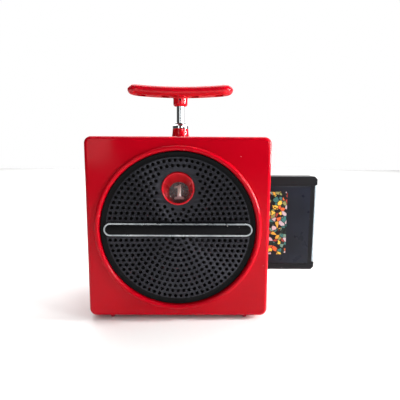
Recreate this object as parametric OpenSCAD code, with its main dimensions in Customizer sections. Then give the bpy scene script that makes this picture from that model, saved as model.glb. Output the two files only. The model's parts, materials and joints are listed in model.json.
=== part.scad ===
// Portable player for eight-track tape cartridges. A square case with a round
// perforated grille, a plunger handle on top that steps the programme, and a
// cartridge that slides into the right side. X is to the right, Y into the
// depth and Z up. The origin is on the plane of the feet, under the plunger.

/* [Case] */
// Width of the case
body_w = 178; // [177:1:200]
// Height of the case without its feet
body_h = 178; // [177:1:200]
// Front face to the plunger's axis
front_depth = 54; // [54:1:64]
// Plunger's axis to the back face
rear_depth = 54; // [54:1:64]
// Plunger's axis to the joint between the two shells
split_depth = 22; // [20:0.5:22.5]
// Wall of both shells
wall = 2.6; // [2.2:0.1:3]
// Radius of the four corners seen from the front
corner_r = 7; // [6.5:0.5:9]
// Round along the front and back edges
edge_r = 3.5; // [3:0.1:4]
// Height of the feet
foot_h = 3.6; // [2:0.1:5]
// Radius of a foot at the case
foot_r = 2.8; // [2.4:0.1:4]
// Distance of a foot's axis from the middle of the case
foot_x = 67.3; // [60:0.1:72]
// Outer radius of a screw post
post_r = 3.4; // [3:0.1:3.6]
// Radius of a case screw's thread
screw_r = 1.7; // [1.2:0.1:2]

/* [Grille] */
// Gap between the red ring round the grille and the case's sides
ring_side = 8; // [7:0.5:9]
// Width of the red ring
ring_w = 4.7; // [4:0.1:5.5]
// How far the ring stands proud of the front face
ring_h = 3; // [2.8:0.1:4]
// Distance of the grille's middle below the middle of the case
grille_drop = 0.4; // [0:0.1:1]
// Gap between the grille and the ring
grille_gap = 1.1; // [0.4:0.1:1.4]
// Gap between the outermost circle of holes and the grille's rim
hole_margin = 2.86; // [2.6:0.02:3.2]
// Radius of one hole
hole_r = 1.7; // [1:0.05:1.9]
// Number of circles of holes
hole_rings = 13; // [10:1:13]
// Thickness of the grille
grille_t = 2; // [1.6:0.1:2.4]
// Depth of the grille's face behind the front face
grille_recess = 1; // [0.6:0.1:1.4]
// Gap between the ends of the plate across the grille and the grille's edge
plate_side = 2.1; // [1:0.1:8]
// Height of the plate across the grille
plate_h = 14.6; // [13:0.2:15]
// Thickness of that plate
plate_t = 1.6; // [1:0.1:2.5]
// Width of the bright line round the plate
trim_w = 1.7; // [1:0.1:2]

/* [Window] */
// Height of the window above the grille's middle
window_rise = 40.2; // [39:0.1:42]
// Outer radius of the funnel at its mouth
cup_r = 15.6; // [14:0.1:16.5]
// Radius of the lens that shows
lens_r = 10.4; // [9:0.1:11]
// How far the lens sits below the middle of the mouth
cup_drop = 6; // [5:0.5:7]
// Wall of the funnel
cup_wall = 1.2; // [1:0.1:1.6]
// Thickness of the lens
lens_t = 1.2; // [0.8:0.1:1.6]

/* [Plunger] */
// Radius of the plunger rod
rod_r = 4.1; // [3.4:0.1:4.3]
// Travel of the plunger
travel = 17; // [12:0.5:17]
// Length of the grip
grip_l = 113; // [90:1:130]
// Grip from front to back
grip_d = 23; // [18:1:28]
// Thickness of the grip
grip_t = 10.6; // [8:0.2:13]
// Radius of the curve that the grip follows
grip_curve_r = 520; // [300:10:900]
// Radius of the hub below the grip
hub_r = 7.7; // [6.5:0.1:9]
// Height of the red collar base
collar_base_h = 9.8; // [7:0.1:13]
// Height of the bright collar
collar_h = 6.4; // [4:0.1:9]
// Gap left between the collar and the hub when the plunger is down
press_gap = 0.6; // [0.4:0.1:6]

/* [Cartridge] */
// Length of the cartridge
cart_l = 133.4; // [130:0.2:136]
// Width of the cartridge
cart_w = 101.6; // [98:0.2:103]
// Thickness of the cartridge
cart_t = 21.5; // [20.5:0.1:22.4]
// Plunger's axis to the cartridge's inner end
cart_in = 12.6; // [12.4:0.1:14]
// Cartridge's front face to the plunger's axis
cart_front = 17.5; // [17:0.1:18]
// Cartridge's middle below the case's middle
cart_drop = 1.4; // [0:0.1:3]
// Clearance round the cartridge in its guide
cart_gap = 0.6; // [0.4:0.1:0.8]

/* [Drive] */
// Radius of the capstan
capstan_r = 1.5; // [1.2:0.1:2]
// Radius of the flywheel
fly_r = 31; // [26:0.5:33]
// Radius of the motor pulley's groove
pulley_r = 3.5; // [3:0.1:5]
// Radius of the motor
motor_r = 16; // [12:0.5:17]
// Radius of the speaker's frame
speaker_r = 46; // [42:0.5:46]
// Radius of the thumbwheels
wheel_r = 11; // [9:0.5:12]
// Width of the thumbwheels
wheel_t = 5; // [4:0.5:6]

/* [Power] */
// Gap between the battery box and the side walls of the case
box_side = 8.8; // [8.6:0.1:12]
// Inside height of the battery box
box_h = 54; // [53:0.5:55]
// Inside depth of the battery box
box_d = 27; // [26.5:0.1:27.4]
// Thickness of the battery door
door_t = 2.2; // [1.8:0.1:2.4]

/* [Hidden] */
$fn = 64;
red = [0.78, 0.04, 0.08];
dark_red = [0.5, 0.03, 0.05];
black = [0.07, 0.07, 0.08];
chrome = [0.8, 0.8, 0.82];
steel = [0.6, 0.61, 0.63];
brass = [0.75, 0.6, 0.3];
e = 0.01;            // overlap between shapes that are joined or cut
snug = 0.03;         // radial gap of a part fixed on a shaft
run = 0.08;          // radial gap of a shaft in its bearing
set_gap = 0.1;       // gap round a part that is set into a hole
air = 0.3;           // gap between bodies that move past each other
sheet_t = 1.2;       // sheet metal of the brackets
zc = foot_h + body_h / 2;          // height of the case's middle
zg = zc - grille_drop;             // height of the grille's middle
yf = -front_depth;
yb = rear_depth;
top_z = foot_h + body_h;
inner_w = body_w - 2 * wall;
inner_h = body_h - 2 * wall;
inner_cr = corner_r - wall;
inner_er = max(edge_r - wall, 0.6);
inner_back = yb - wall;
floor_z = foot_h + wall;
foot_in = 8;
stem_r = 1.5;
head_r = 2.9;
head_t = 1.8;
head_sink = 2.2;
screw_grip = 10;

// Screw posts stand in the centres of the four corner rounds.
posts = [for (x = [-1, 1], z = [-1, 1]) [x * (body_w / 2 - corner_r), zc + z * (body_h / 2 - corner_r)]];

// Grille stack, from the front face inwards.
ring_r = body_w / 2 - ring_side;
bore_r = ring_r - ring_w;
grille_r = bore_r - grille_gap;
plate_l = 2 * (grille_r - plate_side);
grille_y = yf + grille_recess;
grille_back = grille_y + grille_t;
rim_w = 5;
hole_pitch = (grille_r - rim_w - hole_margin) / hole_rings;
rim_round = 1;
seat_t = 2;
seat_ledge = 3.8;
seat_r = bore_r - seat_ledge;
baffle_y = grille_back + seat_t;
baffle_t = 2;
baffle_over = 2.4;
baffle_r = bore_r + baffle_over;
window_z = zg + window_rise;
cup_proud = 1.8;
cup_y = grille_y - cup_proud;
cup_flange = 4;
cup_hole_r = cup_r + 0.5;
hole_edge = 5.2;
hole_clear = cup_r + hole_edge;
lens_z = window_z - cup_drop;
lens_seat_r = lens_r + 0.6;
trim_in = 1.05;
trim_t = 0.4;

// Speaker, with depths counted from its flange.
speaker_y = baffle_y + baffle_t;
speaker_drop = 30;
speaker_z = zg - speaker_drop;
basket_t = 17;
magnet_t = 8.6;
magnet_r = 19;
ledge_w = 4.5;
ledge_r = speaker_r - ledge_w;
hole_in_baffle_r = ledge_r - 1.5;

// Programme mechanism.
disc_t = 1.6;
disc_y = -29.8;
lens_y = disc_y - 1 - lens_t;
cup_end = lens_y + lens_t;
number_r = 17;
shaft_z = lens_z + number_r;
disc_r = number_r + lens_r + 1.2;
numeral_t = 0.25;
shaft_r = 2;
ratchet_y = disc_y + disc_t;
ratchet_t = 1.6;
ratchet_r = 6.4;
ratchet_step = 2;
pinion_teeth = 18;
tooth_m = 1;
backlash = 0.14;
pinion_r = pinion_teeth * tooth_m / 2;
pinion_y = -26;
pinion_t = 5.5;
program_y = -19.5;
cam_y = program_y + sheet_t + 2.3;
cam_t = 3;
cam_r = 8.5;
cam_step = 0.8;
shaft_end = cam_y + cam_t;
follower_y = shaft_end + 3 * cam_step + air;
plate_x0 = -30;
plate_x1 = 14;
plate_top = top_z - wall - 8;

// Plunger stack, upwards from the top of the case.
collar_base_top = top_z + collar_base_h;
collar_top = collar_base_top + collar_h;
collar_r = 8.6;
hub_z = collar_top + travel + press_gap;
hub_h = 9.5;
grip_z = hub_z + hub_h;
hub_round = 2.4;     // round of the hub's lower edge
hub_flare = 1.9;     // how far the hub widens where it meets the grip
rod_in_hub = hub_h;
pin_drop = 3.2;
pin_z = grip_z - pin_drop;     // height of the pin through hub and rod
grip_seam = 0.1;
grip_slots = [[12, 19.5], [37, 46]];
slot_in = 5;         // grip's edge to the end of a slot
slot_top = 4.7;      // depth of a slot above the grip's underside
pin_r = 1;
rod_hole = rod_r + run;
spigot_r = rod_r + 3;
locknut_t = 3;
locknut_r = 10.5;
spigot_bottom = top_z - wall - locknut_t;
stop_t = 2;
stop_r = rod_r + 3.4;
stop_z = spigot_bottom - air - stop_t;
spring_l = 40;
bracket_z = stop_z - spring_l;
cross_h = 6;
cross_z = bracket_z - sheet_t - 1.5 - cross_h;
cross_x1 = rod_r + 1.4;
spring_wire = 0.6;
spring_coil_r = rod_r + 1.35;
spring_turns = 9;
spring_sides = 6;
spring_steps = 10;
rack_x = -pinion_r - 5;
rack_above = ceil(travel / (PI * tooth_m));     // teeth above the pinion's axis
rack_below = 6;                                 // teeth below it
rack_top = shaft_z + rack_above * PI * tooth_m;
rack_root_x = -pinion_r - 1.25 * tooth_m;

// Cartridge and its guide.
cart_z = zc - cart_drop;
cart_y = -cart_front;
cart_x0 = cart_in;
cart_x1 = cart_x0 + cart_l;
cart_back = cart_y + cart_t;
cart_wall = 1.6;
cart_half = 12;
cart_split = cart_y + cart_half;
cart_bevel = 3;
end_dip = 2.4;
guide_t = 1.5;
guide_in = cart_w + 2 * cart_gap;
guide_depth = cart_t + 2 * cart_gap;
guide_start = 8;
guide_x0 = cart_x0 + guide_start;
guide_x1 = body_w / 2 - wall;
guide_y = cart_y - cart_gap - guide_t;
chassis_y = guide_y + guide_depth + 2 * guide_t;
chassis_t = 1.6;
chassis_back = chassis_y + chassis_t;
label_in = 36;
label_x0 = cart_x0 + label_in;
label_out = 7;
label_x1 = cart_x1 - label_out;
label_h = 84;
label_t = 0.3;
label_drop = 1.8;
label_z = cart_z - label_drop;
groove_top = 9.6;
groove_bottom = 6;

// Drive, round the capstan at the cartridge's inner edge.
roller_r = 8.4;
roller_l = 14;
roller_post_r = 2;
roller_in = 9.4;
roller_x = cart_x0 + roller_in;
capstan_x = roller_x - roller_r - capstan_r - 0.05;
capstan_drop = 34;
capstan_z = cart_z - capstan_drop;
bearing_r = 5;
capstan_y = cart_y + cart_wall + 0.8;
fly_gap = 3;
fly_y = chassis_back + fly_gap;
fly_t = 6;
belt_t = 1;
belt_w = 4;
belt_gap = 30.3;     // flywheel's rim to the pulley's groove
motor_x = capstan_x - fly_r - pulley_r - belt_gap;
motor_z = capstan_z;
motor_l = 20;
motor_cap = 2;
motor_cap_r = 5;
motor_end = 6;
motor_shaft_r = 1;
tape_y = cart_y + cart_t / 2;
head_drop = 13;
head_z = cart_z - head_drop;
head_l = 7;
head_x0 = cart_x0 - head_l;
head_x1 = cart_x0 + 1.5;
head_half = 5;
head_pin_in = 3.3;
head_pin_x = head_x0 - head_pin_in;
head_pin_dz = 8;
head_pin_r = 1.2;
carriage_y0 = tape_y - 5.2;
carriage_y1 = tape_y + 4.8;
carriage_half = 12;
carriage_in = 4;
carriage_x = head_pin_x - carriage_in;
carriage_top = head_z + carriage_half;
arm_x0 = 6.3;
arm_x1 = 9.3;
arm_t = 2;
reel_in = 68;
reel_x = cart_x0 + reel_in;
reel_r = 44;
reel_post_r = 6;
reel_gap = 3.2;
reel_y = cart_y + reel_gap;
reel_flange = 1.2;
reel_hub_r = 12;
reel_hub_l = 8;
pack_r = 38;
tape_w = 6.35;

// Power parts and the circuit board at the back.
box_wall = 1.6;
box_l = inner_w - 2 * (box_wall + box_side);
box_z = floor_z + box_wall + box_h / 2;
box_y = inner_back - box_d;
door_gap = 0.4;
door_l = box_l - 3;
door_h = box_h - 3;
hinge_r = wall / 2;
hinge_pin_r = 0.7;
hinge_pin_l = 1.6;
hinge_y = yb - wall / 2;
hinge_z = box_z - door_h / 2 + hinge_r;
hinge_room = 1.1;
hinge_x = door_l / 2 + door_gap + hinge_pin_l;      // end of the hinge pin
board_t = 1.6;
board_gap = 4;
board_y = fly_y + fly_t + board_gap;
board_l = 140;
board_rise = 6;
board_below = 12;
board_z0 = box_z + box_h / 2 + board_rise;
board_z1 = top_z - wall - board_below;
board_h = board_z1 - board_z0;
board_back = board_y + board_t;
can_r = 5;
can_l = 14;
coil_w = 22;
coil_t = 18;
chip_l = 20;
chip_t = 8;
standoff_x = 64;
standoff_r = 2.5;
standoff_in = 7;
standoffs = [for (x = [-1, 1], z = [board_z0 + standoff_in, board_z1 - standoff_in]) [x * standoff_x, z]];

// Controls in the left side.
panel_y = -9;
panel_w = 26;
panel_h = 92;
panel_lip = 2;
panel_rise = 10;
panel_z = zc + panel_rise;
panel_t = 1.6;
panel_x = -inner_w / 2;
wheel_proud = wall - 0.4;
wheel_x = panel_x - wheel_proud + wheel_r;
wheel_top = 30;
wheel_low = 4;
wheel_zs = [panel_z + wheel_top, panel_z + wheel_low];
wheel_y = panel_y - wheel_t / 2;
wheel_pin_r = 1.5;
wheel_pin_l = 5;
pot_r = 7;
jack_drop = 26;
jack_z = panel_z - jack_drop;
jack_r = 1.8;
jack_body_r = 4;
jack_l = 14;
dc_in = 34;
dc_x = body_w / 2 - dc_in;
dc_rise = 46;
dc_z = zc + dc_rise;
dc_r = 5;
dc_bore_r = 2.75;
dc_l = 12;

// ---- helpers ----
// A front-view outline from depth y0 to y0 + t.
module plate(y0, t) translate([0, y0 + t, 0]) rotate([90, 0, 0]) linear_extrude(t) children();
// A profile of radius and depth, turned about a front-to-back axis.
module turned(x, z, y0) translate([x, y0, z]) rotate([-90, 0, 0]) rotate_extrude($fn = 96) children();
// A profile of radius and height, turned about an upright axis.
module upright(z0) translate([0, 0, z0]) rotate_extrude() children();
module rod_y(x, z, y0, l, r) translate([x, y0, z]) rotate([-90, 0, 0]) cylinder(h = l, r = r);
module rod_x(x0, y, z, l, r) translate([x0, y, z]) rotate([0, 90, 0]) cylinder(h = l, r = r);
module rod_z(z0, l, r) translate([0, 0, z0]) cylinder(h = l, r = r);
module block(a, b) translate(a) cube(b - a);
// A flat ring in front view.
module ring(r_out, r_in) difference() { circle(r_out); circle(r_in); }
// A slot outline with round ends, about its middle.
module stadium(l, h) {
    square([l - h, h], center = true);
    for (s = [-1, 1]) translate([s * (l - h) / 2, 0]) circle(h / 2);
}
// A rectangle with round corners, about its middle.
module round_rect(w, h, r) {
    square([w - 2 * r, h], center = true);
    square([w, h - 2 * r], center = true);
    for (x = [-1, 1], y = [-1, 1]) translate([x * (w / 2 - r), y * (h / 2 - r)]) circle(r);
}
// A triangle from the origin with its sides at angle 0 and angle a.
module wedge(l, a) polygon([[0, 0], [l, 0], [l * cos(a), l * sin(a)]]);

// Side view of a box with two round front corners: a span across and a depth.
module edge_section(span, depth, r) {
    translate([-span / 2, r]) square([span, depth - r]);
    translate([-span / 2 + r, 0]) square([span - 2 * r, depth]);
    for (s = [-1, 1]) translate([s * (span / 2 - r), r]) circle(r);
}

// A block with round corners and a round front edge, from its face at y = 0.
module case_block(w, h, depth, cr, er) {
    translate([-(w / 2 - cr), 0, zc]) rotate([90, 0, 90])
        linear_extrude(w - 2 * cr) mirror([1, -1, 0]) edge_section(h, depth, er);
    translate([0, 0, zc - (h / 2 - cr)]) linear_extrude(h - 2 * cr) edge_section(w, depth, er);
    for (x = [-1, 1], z = [-1, 1]) turned(x * (w / 2 - cr), zc + z * (h / 2 - cr), 0) {
        translate([0, er]) square([cr, depth - er]);
        square([cr - er, depth]);
        intersection() {
            translate([cr - er, er]) circle(er);
            square([cr, depth]);
        }
    }
}

// ---- case ----
module foot_holes(y) for (x = [-foot_x, foot_x])
    translate([x, y, foot_h - 1]) cylinder(h = wall + 2, r = stem_r + set_gap);

module ring_profile() {
    bead = ring_w / 2;
    translate([bore_r, bead - ring_h]) square([ring_w, ring_h - bead + e]);
    translate([bore_r + bead, bead - ring_h]) circle(bead);
}

module front_shell() color(red) difference() {
    union() {
        difference() {
            translate([0, yf, 0]) case_block(body_w, body_h, split_depth - yf, corner_r, edge_r);
            translate([0, yf + wall, 0])
                case_block(inner_w, inner_h, split_depth - yf, inner_cr, inner_er);
        }
        turned(0, zg, yf) ring_profile();
        turned(0, zg, yf + wall - e)
            translate([seat_r, 0]) square([baffle_r - seat_r, baffle_y - yf - wall + e]);
        for (p = posts) rod_y(p[0], p[1], yf + wall - e, chassis_y - yf - wall + e, post_r);
    }
    rod_y(0, zg, yf - 2 * ring_h, grille_back - yf + 2 * ring_h, bore_r);
    rod_y(0, zg, yf, baffle_y - yf + 1, seat_r);
    for (p = posts) rod_y(p[0], p[1], chassis_y - screw_grip - 1, screw_grip + 2, screw_r + set_gap);
    block([body_w / 2 - wall - 1, cart_y - cart_gap, cart_z - guide_in / 2],
          [body_w / 2 + 1, cart_back + cart_gap, cart_z + guide_in / 2]);
    block([-body_w / 2 - 1, panel_y - panel_w / 2, panel_z - panel_h / 2],
          [-body_w / 2 + wall + 1, panel_y + panel_w / 2, panel_z + panel_h / 2]);
    rod_z(top_z - wall - 1, wall + 2, spigot_r + set_gap);
    foot_holes(yf + foot_in);
}

module rear_cover() color(red) difference() {
    union() {
        difference() {
            translate([0, yb, 0]) mirror([0, 1, 0])
                case_block(body_w, body_h, yb - split_depth, corner_r, edge_r);
            translate([0, inner_back, 0]) mirror([0, 1, 0])
                case_block(inner_w, inner_h, yb - split_depth, inner_cr, inner_er);
        }
        for (p = posts) rod_y(p[0], p[1], chassis_back, inner_back - chassis_back + e, post_r);
    }
    for (p = posts) {
        rod_y(p[0], p[1], chassis_back - 1, yb - chassis_back + 2, screw_r + set_gap);
        rod_y(p[0], p[1], yb - head_sink, head_sink + 1, head_r + set_gap);
    }
    block([-door_l / 2 - door_gap, inner_back - 1, hinge_z - hinge_r - hinge_room],
          [door_l / 2 + door_gap, yb + 1, box_z + door_h / 2 + door_gap]);
    rod_x(-hinge_x - 1, hinge_y, hinge_z, 2 * hinge_x + 2, hinge_pin_r + run);
    rod_y(dc_x, dc_z, inner_back - 1, wall + 2, dc_r + set_gap);
    foot_holes(yb - foot_in);
}

module feet() color(dark_red)
    for (x = [-foot_x, foot_x], y = [yf + foot_in, yb - foot_in]) translate([x, y, 0]) {
        cylinder(h = foot_h, r1 = foot_r * 0.68, r2 = foot_r);
        cylinder(h = floor_z, r = stem_r);
    }

module case_screws() color(steel) for (p = posts) difference() {
    union() {
        rod_y(p[0], p[1], yb - head_sink, head_t, head_r);
        rod_y(p[0], p[1], chassis_y - screw_grip, yb - head_sink - chassis_y + screw_grip + e, screw_r);
    }
    for (a = [0, 90]) plate(yb - head_sink + head_t - 1, 2)
        translate(p) rotate(a) square([head_r * 1.3, 0.8], center = true);
}

// ---- front ----
// Hole n, k of the grille: circle n has six times n holes.
function hole_place(n, k) = [n * hole_pitch * cos(60 * k / n), n * hole_pitch * sin(60 * k / n)];
holes = [for (n = [1:hole_rings], k = [0:6 * n - 1])
    let (p = hole_place(n, k))
    if (abs(p[1]) > plate_h / 2 + 0.7 && norm(p - [0, window_rise]) > hole_clear) p];

module grille() color(black) {
    plate(grille_y, grille_t) translate([0, zg]) difference() {
        circle(grille_r - rim_w, $fn = 96);
        for (p = holes) translate(p) circle(hole_r, $fn = 20);
        translate([0, window_rise]) circle(cup_hole_r);
    }
    turned(0, zg, grille_y) {
        translate([grille_r - rim_w - e, 0]) square([rim_w - rim_round + e, grille_t]);
        translate([grille_r - rim_w - e, rim_round]) square([rim_w + e, grille_t - rim_round]);
        translate([grille_r - rim_round, rim_round]) circle(rim_round);
    }
}

module nameplate() color(black)
    plate(grille_y - plate_t, plate_t) translate([0, zg]) stadium(plate_l, plate_h);

module nameplate_trim() color(chrome)
    plate(grille_y - plate_t - trim_t, trim_t) translate([0, zg]) difference() {
        stadium(plate_l - 2 * trim_in, plate_h - 2 * trim_in);
        stadium(plate_l - 2 * (trim_in + trim_w), plate_h - 2 * (trim_in + trim_w));
    }

// A thin round slice of the funnel, its middle dropped below the mouth's.
module cup_slice(y0, t, r, drop) rod_y(0, window_z - drop, y0, t, r);

module window_cup() color(red) difference() {
    union() {
        hull() {
            cup_slice(cup_y, cup_wall, cup_r, 0, $fn = 48);
            cup_slice(lens_y - 1, 1, lens_seat_r + cup_wall, cup_drop, $fn = 48);
        }
        cup_slice(lens_y - 1, cup_end - lens_y + 1, lens_seat_r + cup_wall, cup_drop);
        cup_slice(grille_back, seat_t, cup_r + cup_flange, 0);
    }
    hull() {
        cup_slice(cup_y - 1, 1.4, cup_r - cup_wall, 0, $fn = 48);
        cup_slice(lens_y - 0.5, 1, lens_r, cup_drop, $fn = 48);
    }
    cup_slice(lens_y, lens_t + 1, lens_seat_r + snug, cup_drop);
}

module window_lens() color([0.8, 0.85, 0.9, 0.4]) cup_slice(lens_y + e, lens_t - e, lens_seat_r, cup_drop);

// ---- speaker ----
module speaker_baffle() color([0.25, 0.2, 0.15]) plate(baffle_y, baffle_t) difference() {
    translate([0, zg]) circle(baffle_r, $fn = 96);
    translate([0, speaker_z]) circle(hole_in_baffle_r);
    translate([0, window_z - cup_drop / 3]) circle(cup_r + 1);
}

module speaker_frame() color(steel) difference() {
    turned(0, speaker_z, speaker_y) polygon([
        [ledge_r, 0], [speaker_r, 0], [speaker_r, 1.6], [ledge_r + 1.1, 2.6],
        [magnet_r + 2.5, basket_t - 1], [magnet_r + 2.5, basket_t], [11, basket_t],
        [11, basket_t - 1.2], [magnet_r + 1.6, basket_t - 1.2], [ledge_r - 1.2, 2.6],
        [ledge_r - 1.2, 1.4], [ledge_r, 1.4]]);
    for (a = [30:60:330]) plate(speaker_y + 3.6, basket_t - 5.2)
        translate([0, speaker_z]) rotate(a)
            translate([magnet_r + 4, -8]) square([ledge_r - magnet_r - 8, 16]);
}

module speaker_cone() color([0.12, 0.12, 0.13]) turned(0, speaker_z, speaker_y) {
    polygon([[ledge_r - snug, 0.6], [37, 0.6], [9.2, 10.6], [9.2, 15.4], [9.9, 15.4], [9.9, 11.4],
             [37.4, 1.4 - snug], [ledge_r - snug, 1.4 - snug]]);
    polygon([[0, 7.5], [9.6, 10.6], [9.6, 11.4], [0, 8.3]]);
}

module speaker_magnet() color([0.35, 0.35, 0.37]) {
    rod_y(0, speaker_z, speaker_y + basket_t, magnet_t, magnet_r);
    rod_y(0, speaker_z, speaker_y + 11.5, basket_t - 11.5 + e, 8.6);
}

// ---- plunger ----
module collar_base() color(red) difference() {
    upright(top_z) polygon(concat([[0, 0]],
        [for (i = [0:12]) let (t = i / 12) [collar_r + 1.5 * pow(1 - t, 2.2), collar_base_h * t]],
        [[0, collar_base_h]]));
    rod_z(top_z - 1, collar_base_h + 2, spigot_r + set_gap);
}

module collar_nut() color(chrome) difference() {
    union() {
        upright(collar_base_top) polygon([
            [0, 0], [collar_r, 0], [collar_r, collar_h * 0.55], [collar_r - 0.7, collar_h * 0.68],
            [rod_r + 1.9, collar_h * 0.78], [rod_r + 1.4, collar_h], [0, collar_h]]);
        rod_z(spigot_bottom, collar_base_top - spigot_bottom + e, spigot_r);
    }
    rod_z(spigot_bottom - 1, collar_top - spigot_bottom + 2, rod_hole);
}

module collar_locknut() color(steel) difference() {
    translate([0, 0, spigot_bottom]) cylinder(h = locknut_t, r = locknut_r, $fn = 6);
    rod_z(spigot_bottom - 1, locknut_t + 2, spigot_r + snug);
}

module plunger_rod() color(chrome) difference() {
    rod_z(cross_z, hub_z + rod_in_hub - cross_z, rod_r);
    rod_y(0, pin_z, -rod_r - 1, 2 * rod_r + 2, pin_r + snug);
}

module rod_stop() color(steel) difference() {
    rod_z(stop_z, stop_t, stop_r);
    rod_z(stop_z - 1, stop_t + 2, rod_r + snug);
}

module grip_pin() color(black) rod_y(0, pin_z, -hub_r + 0.4, 2 * hub_r - 0.8, pin_r);

// One round end of the grip, a hair smaller than the bar it grows from.
module grip_end() rotate_extrude(angle = 180) intersection() {
    stadium(grip_d - grip_seam, grip_t - grip_seam);
    translate([0, -grip_t]) square([grip_d, 2 * grip_t]);
}

// The grip is a rounded bar bent upwards, with ends that are round from above.
module plunger_grip() color(red) {
    half_t = grip_t / 2;
    bend = asin((grip_l - grip_d) / 2 / grip_curve_r);
    centre_z = grip_z + half_t + grip_curve_r;
    difference() {
        union() {
            translate([0, 0, centre_z]) rotate([90, 0, 0]) rotate([0, 0, -90 - bend])
                rotate_extrude(angle = 2 * bend, $fn = 360)
                    translate([grip_curve_r, 0]) rotate(90) stadium(grip_d, grip_t);
            for (s = [-1, 1])
                translate([s * grip_curve_r * sin(bend), 0, centre_z - grip_curve_r * cos(bend)])
                    rotate([0, -s * bend, 0]) translate([-s * grip_seam, 0, 0]) rotate(-s * 90) grip_end();
            upright(hub_z) polygon(concat(
                [[0, 0]],
                [for (a = [-90:15:0])
                    [hub_r - hub_round + hub_round * cos(a), hub_round + hub_round * sin(a)]],
                [for (i = [0:6]) let (t = i / 6)
                    [hub_r + hub_flare * t * t, hub_h - hub_flare + hub_flare * t]],
                [[hub_r + hub_flare, hub_h + half_t], [0, hub_h + half_t]]));
        }
        rod_z(hub_z - 1, rod_in_hub + 1, rod_r + snug);
        rod_y(0, pin_z, -hub_r - 1, 2 * hub_r + 2, pin_r + snug);
        for (s = [-1, 1], slot = grip_slots)
            block([min(s * slot[0], s * slot[1]), slot_in - grip_d / 2, grip_z - 2],
                  [max(s * slot[0], s * slot[1]), grip_d / 2 - slot_in, grip_z + slot_top]);
    }
}

// Straight rack on the left, with a tooth gap level with the pinion's axis.
module rack_teeth() {
    p = PI * tooth_m;
    tip = PI * tooth_m / 4 - backlash / 2 - tan(20) * tooth_m;
    root = PI * tooth_m / 4 - backlash / 2 + tan(20) * 1.25 * tooth_m;
    for (k = [-rack_below:rack_above - 1]) translate([-pinion_r, shaft_z + (k + 0.5) * p])
        polygon([[-1.25 * tooth_m - e, -root], [tooth_m, -tip], [tooth_m, tip], [-1.25 * tooth_m - e, root]]);
}

module rack_crosshead() color(steel) difference() {
    union() {
        block([rack_x, pinion_y, cross_z], [cross_x1, rod_r + 1.4, cross_z + cross_h]);
        block([rack_x, pinion_y, cross_z], [rack_root_x, pinion_y + pinion_t, rack_top]);
        plate(pinion_y, pinion_t) intersection() {
            rack_teeth();
            translate([rack_x, cross_z + cross_h]) square([-rack_x, rack_top - cross_z - cross_h]);
        }
    }
    rod_z(cross_z - 1, cross_h + 2, rod_r + snug);
    block([-pinion_r + 1, pinion_y - 1, cross_z - 1], [cross_x1 + 1, -rod_r - 4, cross_z + cross_h + 1]);
}

// Helical wire from the bracket up to the stop.
spring_z0 = bracket_z + spring_wire + 0.05;
spring_z1 = stop_z - spring_wire - 0.05;
function spring_point(i, j) =
    let (n = spring_turns * spring_steps, a = 360 * i / spring_steps, b = 360 * j / spring_sides,
         r = spring_coil_r + spring_wire * cos(b), z = spring_z0 + (spring_z1 - spring_z0) * i / n)
    [r * cos(a), r * sin(a), z + spring_wire * sin(b)];

module plunger_spring() color(steel) {
    n = spring_turns * spring_steps;
    m = spring_sides;
    side = [for (i = [0:n - 1], j = [0:m - 1]) each [
        [i * m + j, (i + 1) * m + j, (i + 1) * m + (j + 1) % m],
        [i * m + j, (i + 1) * m + (j + 1) % m, i * m + (j + 1) % m]]];
    ends = [for (j = [1:m - 2]) each [[0, j, j + 1], [n * m, n * m + j + 1, n * m + j]]];
    polyhedron([for (i = [0:n], j = [0:m - 1]) spring_point(i, j)], concat(side, ends));
}

module plunger_bracket() color(steel) difference() {
    union() {
        block([plate_x0 + 8, program_y + sheet_t, bracket_z - sheet_t],
              [cross_x1 + 5, rod_r + 1.6, bracket_z]);
        block([plate_x0 + 8, program_y + sheet_t, bracket_z - sheet_t],
              [-pinion_r, program_y + 2 * sheet_t, bracket_z + 7]);
    }
    rod_z(bracket_z - sheet_t - 1, sheet_t + 2, rod_hole);
    block([arm_x0 - 1, program_y + 3 * sheet_t, bracket_z - sheet_t - 1],
          [cross_x1 + 6, follower_y + arm_t + 3 * cam_step + 1, bracket_z + 1]);
}

// ---- programme mechanism ----
module program_plate() color(steel) difference() {
    union() {
        block([plate_x0, program_y, bracket_z - sheet_t], [plate_x1, program_y + sheet_t, plate_top]);
        block([plate_x0, program_y, bracket_z + 2], [plate_x0 + sheet_t, chassis_y, plate_top]);
        block([plate_x1 - sheet_t, program_y, cart_z + guide_in / 2 + 4], [plate_x1, chassis_y, plate_top]);
    }
    rod_y(0, shaft_z, program_y - 1, sheet_t + 2, shaft_r + run);
}

// Half of a tooth's angle at radius r, in degrees, for an involute gear.
base_r = pinion_r * cos(20);
function involute(r) = let (c = base_r / r) (sqrt(1 / (c * c) - 1) * 180 / PI - acos(c));
function tooth_half(r) = (PI * tooth_m / 4 - backlash / 2) / pinion_r * 180 / PI
    + involute(pinion_r) - involute(max(r, base_r));
tooth_rs = [pinion_r - 1.25 * tooth_m, base_r, base_r + 0.4, pinion_r, pinion_r + 0.5, pinion_r + 0.95];
function flank(a, side, order) = [for (i = order)
    let (r = tooth_rs[i], b = a + side * tooth_half(r)) [r * cos(b), r * sin(b)]];
function tooth_points(a) = concat(flank(a, -1, [0:5]), flank(a, 1, [5:-1:0]));

module index_pinion() color(brass) plate(pinion_y, pinion_t) translate([0, shaft_z]) difference() {
    polygon([for (k = [0:pinion_teeth - 1]) each tooth_points(360 * k / pinion_teeth)]);
    circle(shaft_r + run);
}

// The pawl rides on the pinion's face, drawn lifted clear of the ratchet.
module index_pawl() color(steel) plate(ratchet_y + 0.4, pinion_y - ratchet_y - 0.4)
    translate([0, shaft_z + ratchet_r])
        polygon([[-1.2, air], [2.2, air + 0.5], [3.4, 2.6], [1.6, 3.2], [-2.2, 2.2]]);

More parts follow.
